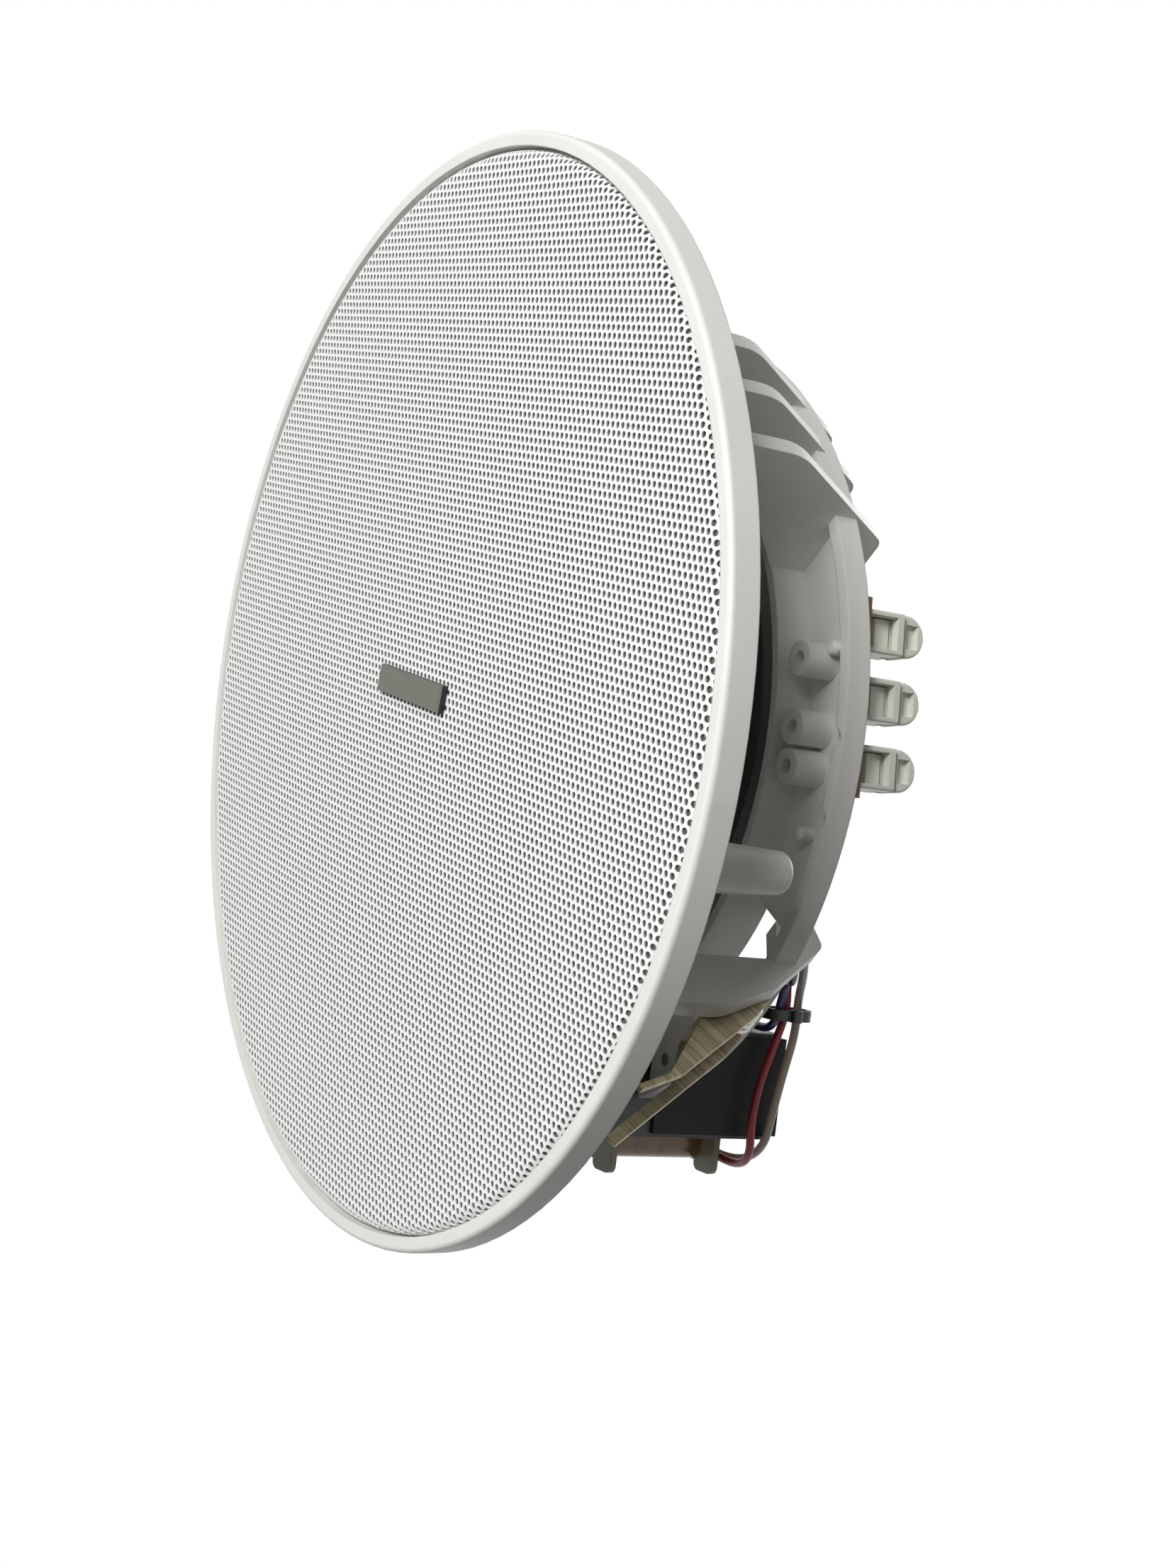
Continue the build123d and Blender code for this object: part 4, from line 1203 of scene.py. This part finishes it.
def make_wire(spec: WireSpec, material: bpy.types.Material) -> None:
    """Make one wire as a smooth tube along its route.

    Args:
        spec: The wire's facts.
        material: Insulation.
    """
    curve = bpy.data.curves.new(spec.node + "_line", "CURVE")
    curve.dimensions = "3D"
    spline = curve.splines.new("NURBS")
    spline.points.add(len(spec.route) - 1)
    for point, place in zip(spline.points, spec.route):
        point.co = (*(Vector(place) * MM), 1.0)
    spline.order_u = 3
    spline.use_endpoint_u = True
    spline.resolution_u = 8
    curve.bevel_depth = WIRE_DIAMETER / 2
    curve.bevel_resolution = 4
    curve.use_fill_caps = True
    curve.materials.append(material)
    made = add_object(spec.node + "_smooth", curve)
    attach(made, ROOT_BODY)
    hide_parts(spec.node)


def dress_nodes(frame: dict, made: dict[Slot, bpy.types.Material]) -> None:
    """Give every CAD node its finish.

    Args:
        frame: Loaded frame.
        made: Materials by slot.
    """
    for entry in frame["record"]["subparts"]:
        node = frame["nodes"][entry["node"]]
        node.data.materials.clear()
        node.data.materials.append(made[Slot(entry["material_slot"])])


def make_grille(material: bpy.types.Material) -> None:
    """Make the perforated grille and put it in its node's place.

    Args:
        material: Finish.
    """
    for piece in PerforatedSheet(GrilleSpec(), material).build():
        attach(piece, ROOT_BODY)
        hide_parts("grille")
        LOG.info("%s has %d faces", piece.name, len(piece.data.polygons))


def make_camera(fit: CameraFit) -> None:
    """Stand the camera where the photograph's was.

    Args:
        fit: Fitted camera.
    """
    data = bpy.data.cameras.new("photograph")
    data.sensor_fit = "VERTICAL"
    data.sensor_height = 36.0
    data.lens = fit.focal_pixels / fit.picture[1] * data.sensor_height
    data.clip_start = 0.01
    data.clip_end = 50.0
    camera = add_object("photograph", data)
    axes = Matrix((Vector(fit.right), -Vector(fit.down), -Vector(fit.forward))).transposed()
    camera.matrix_world = Matrix.Translation(Vector(fit.place) * MM) @ axes.to_4x4()
    bpy.context.scene.camera = camera


def make_lamp(lamp: Lamp, target: Vector) -> None:
    """Hang one area lamp and point it at the object.

    Args:
        lamp: Its facts.
        target: Point that it lights.
    """
    data = bpy.data.lights.new(lamp.name, "AREA")
    data.energy = lamp.power
    data.size = lamp.size
    made = add_object(lamp.name, data)
    outwards = Vector(lamp.direction).normalized()
    made.location = target + outwards * lamp.distance
    made.rotation_euler = outwards.to_track_quat("Z", "Y").to_euler()


class WorldGraph(Graph):
    """The world's node tree."""

    def __init__(self) -> None:
        """Make a world and put it in the scene."""
        world = bpy.data.worlds.new("studio")
        world.use_nodes = True
        bpy.context.scene.world = world
        super().__init__(world.node_tree)

    def seen_or_lit(self, seen: float, lit: float) -> None:
        """Show one level to the camera and reflections, and light the object with another.

        Args:
            seen: Level that shows.
            lit: Level that lights.
        """
        level = self.shown() * (seen - lit) + lit
        background = self.node("ShaderNodeBackground", {"Color": (1.0, 1.0, 1.0, 1.0), "Strength": level})
        self.node("ShaderNodeOutputWorld", {"Surface": background.outputs[0]})


def make_floor() -> None:
    """Lay the pale floor of the room that the speaker looks down into."""
    g = ShaderGraph("floor")
    speckle = g.noise(6.0, 4.0)
    material = g.finish(
        Base_Color=g.blend(speckle, (0.78, 0.78, 0.78), (0.83, 0.83, 0.83)),
        Roughness=0.7,
        Emission_Color=g.blend(g.shown(), (0.0, 0.0, 0.0), FLOOR_GLOW),
        Emission_Strength=1.0,
    )
    mesh = bpy.data.meshes.new("floor")
    half = FLOOR_WIDTH / 2
    corners = [(-half, -half), (half, -half), (half, half), (-half, half)]
    mesh.from_pydata([(x, y, FLOOR_HEIGHT) for x, y in corners], [], [(0, 1, 2, 3)])
    mesh.materials.append(material)
    add_object("floor", mesh)


def make_studio(middle: Vector) -> None:
    """Set the light, the background and the view.

    Args:
        middle: Middle of the object.
    """
    WorldGraph().seen_or_lit(SKY_SEEN, SKY_LIT)
    make_floor()
    for lamp in LAMPS:
        make_lamp(lamp, middle)
    bpy.context.scene.view_settings.view_transform = "Standard"


def plain(bounds: Sequence[Sequence[float]]) -> list[list[float]]:
    """Turn a box into plain lists.

    Args:
        bounds: Lowest and highest corner.

    Returns:
        The corners as lists of numbers.
    """
    return [[float(v) for v in corner] for corner in bounds]


def main() -> None:
    """Build the scene."""
    logging.basicConfig(level=logging.INFO, format="%(name)s: %(message)s")
    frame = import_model()
    cad_box = plain(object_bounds())
    made = finishes()
    dress_nodes(frame, made)
    make_camera(CameraFit())
    for spec in WIRES:
        make_wire(spec, made[spec.slot])
    make_grille(made[Slot.GRILLE])
    low, high = (Vector(corner) for corner in cad_box)
    make_studio((low + high) / 2)


if __name__ == "__main__":
    main()
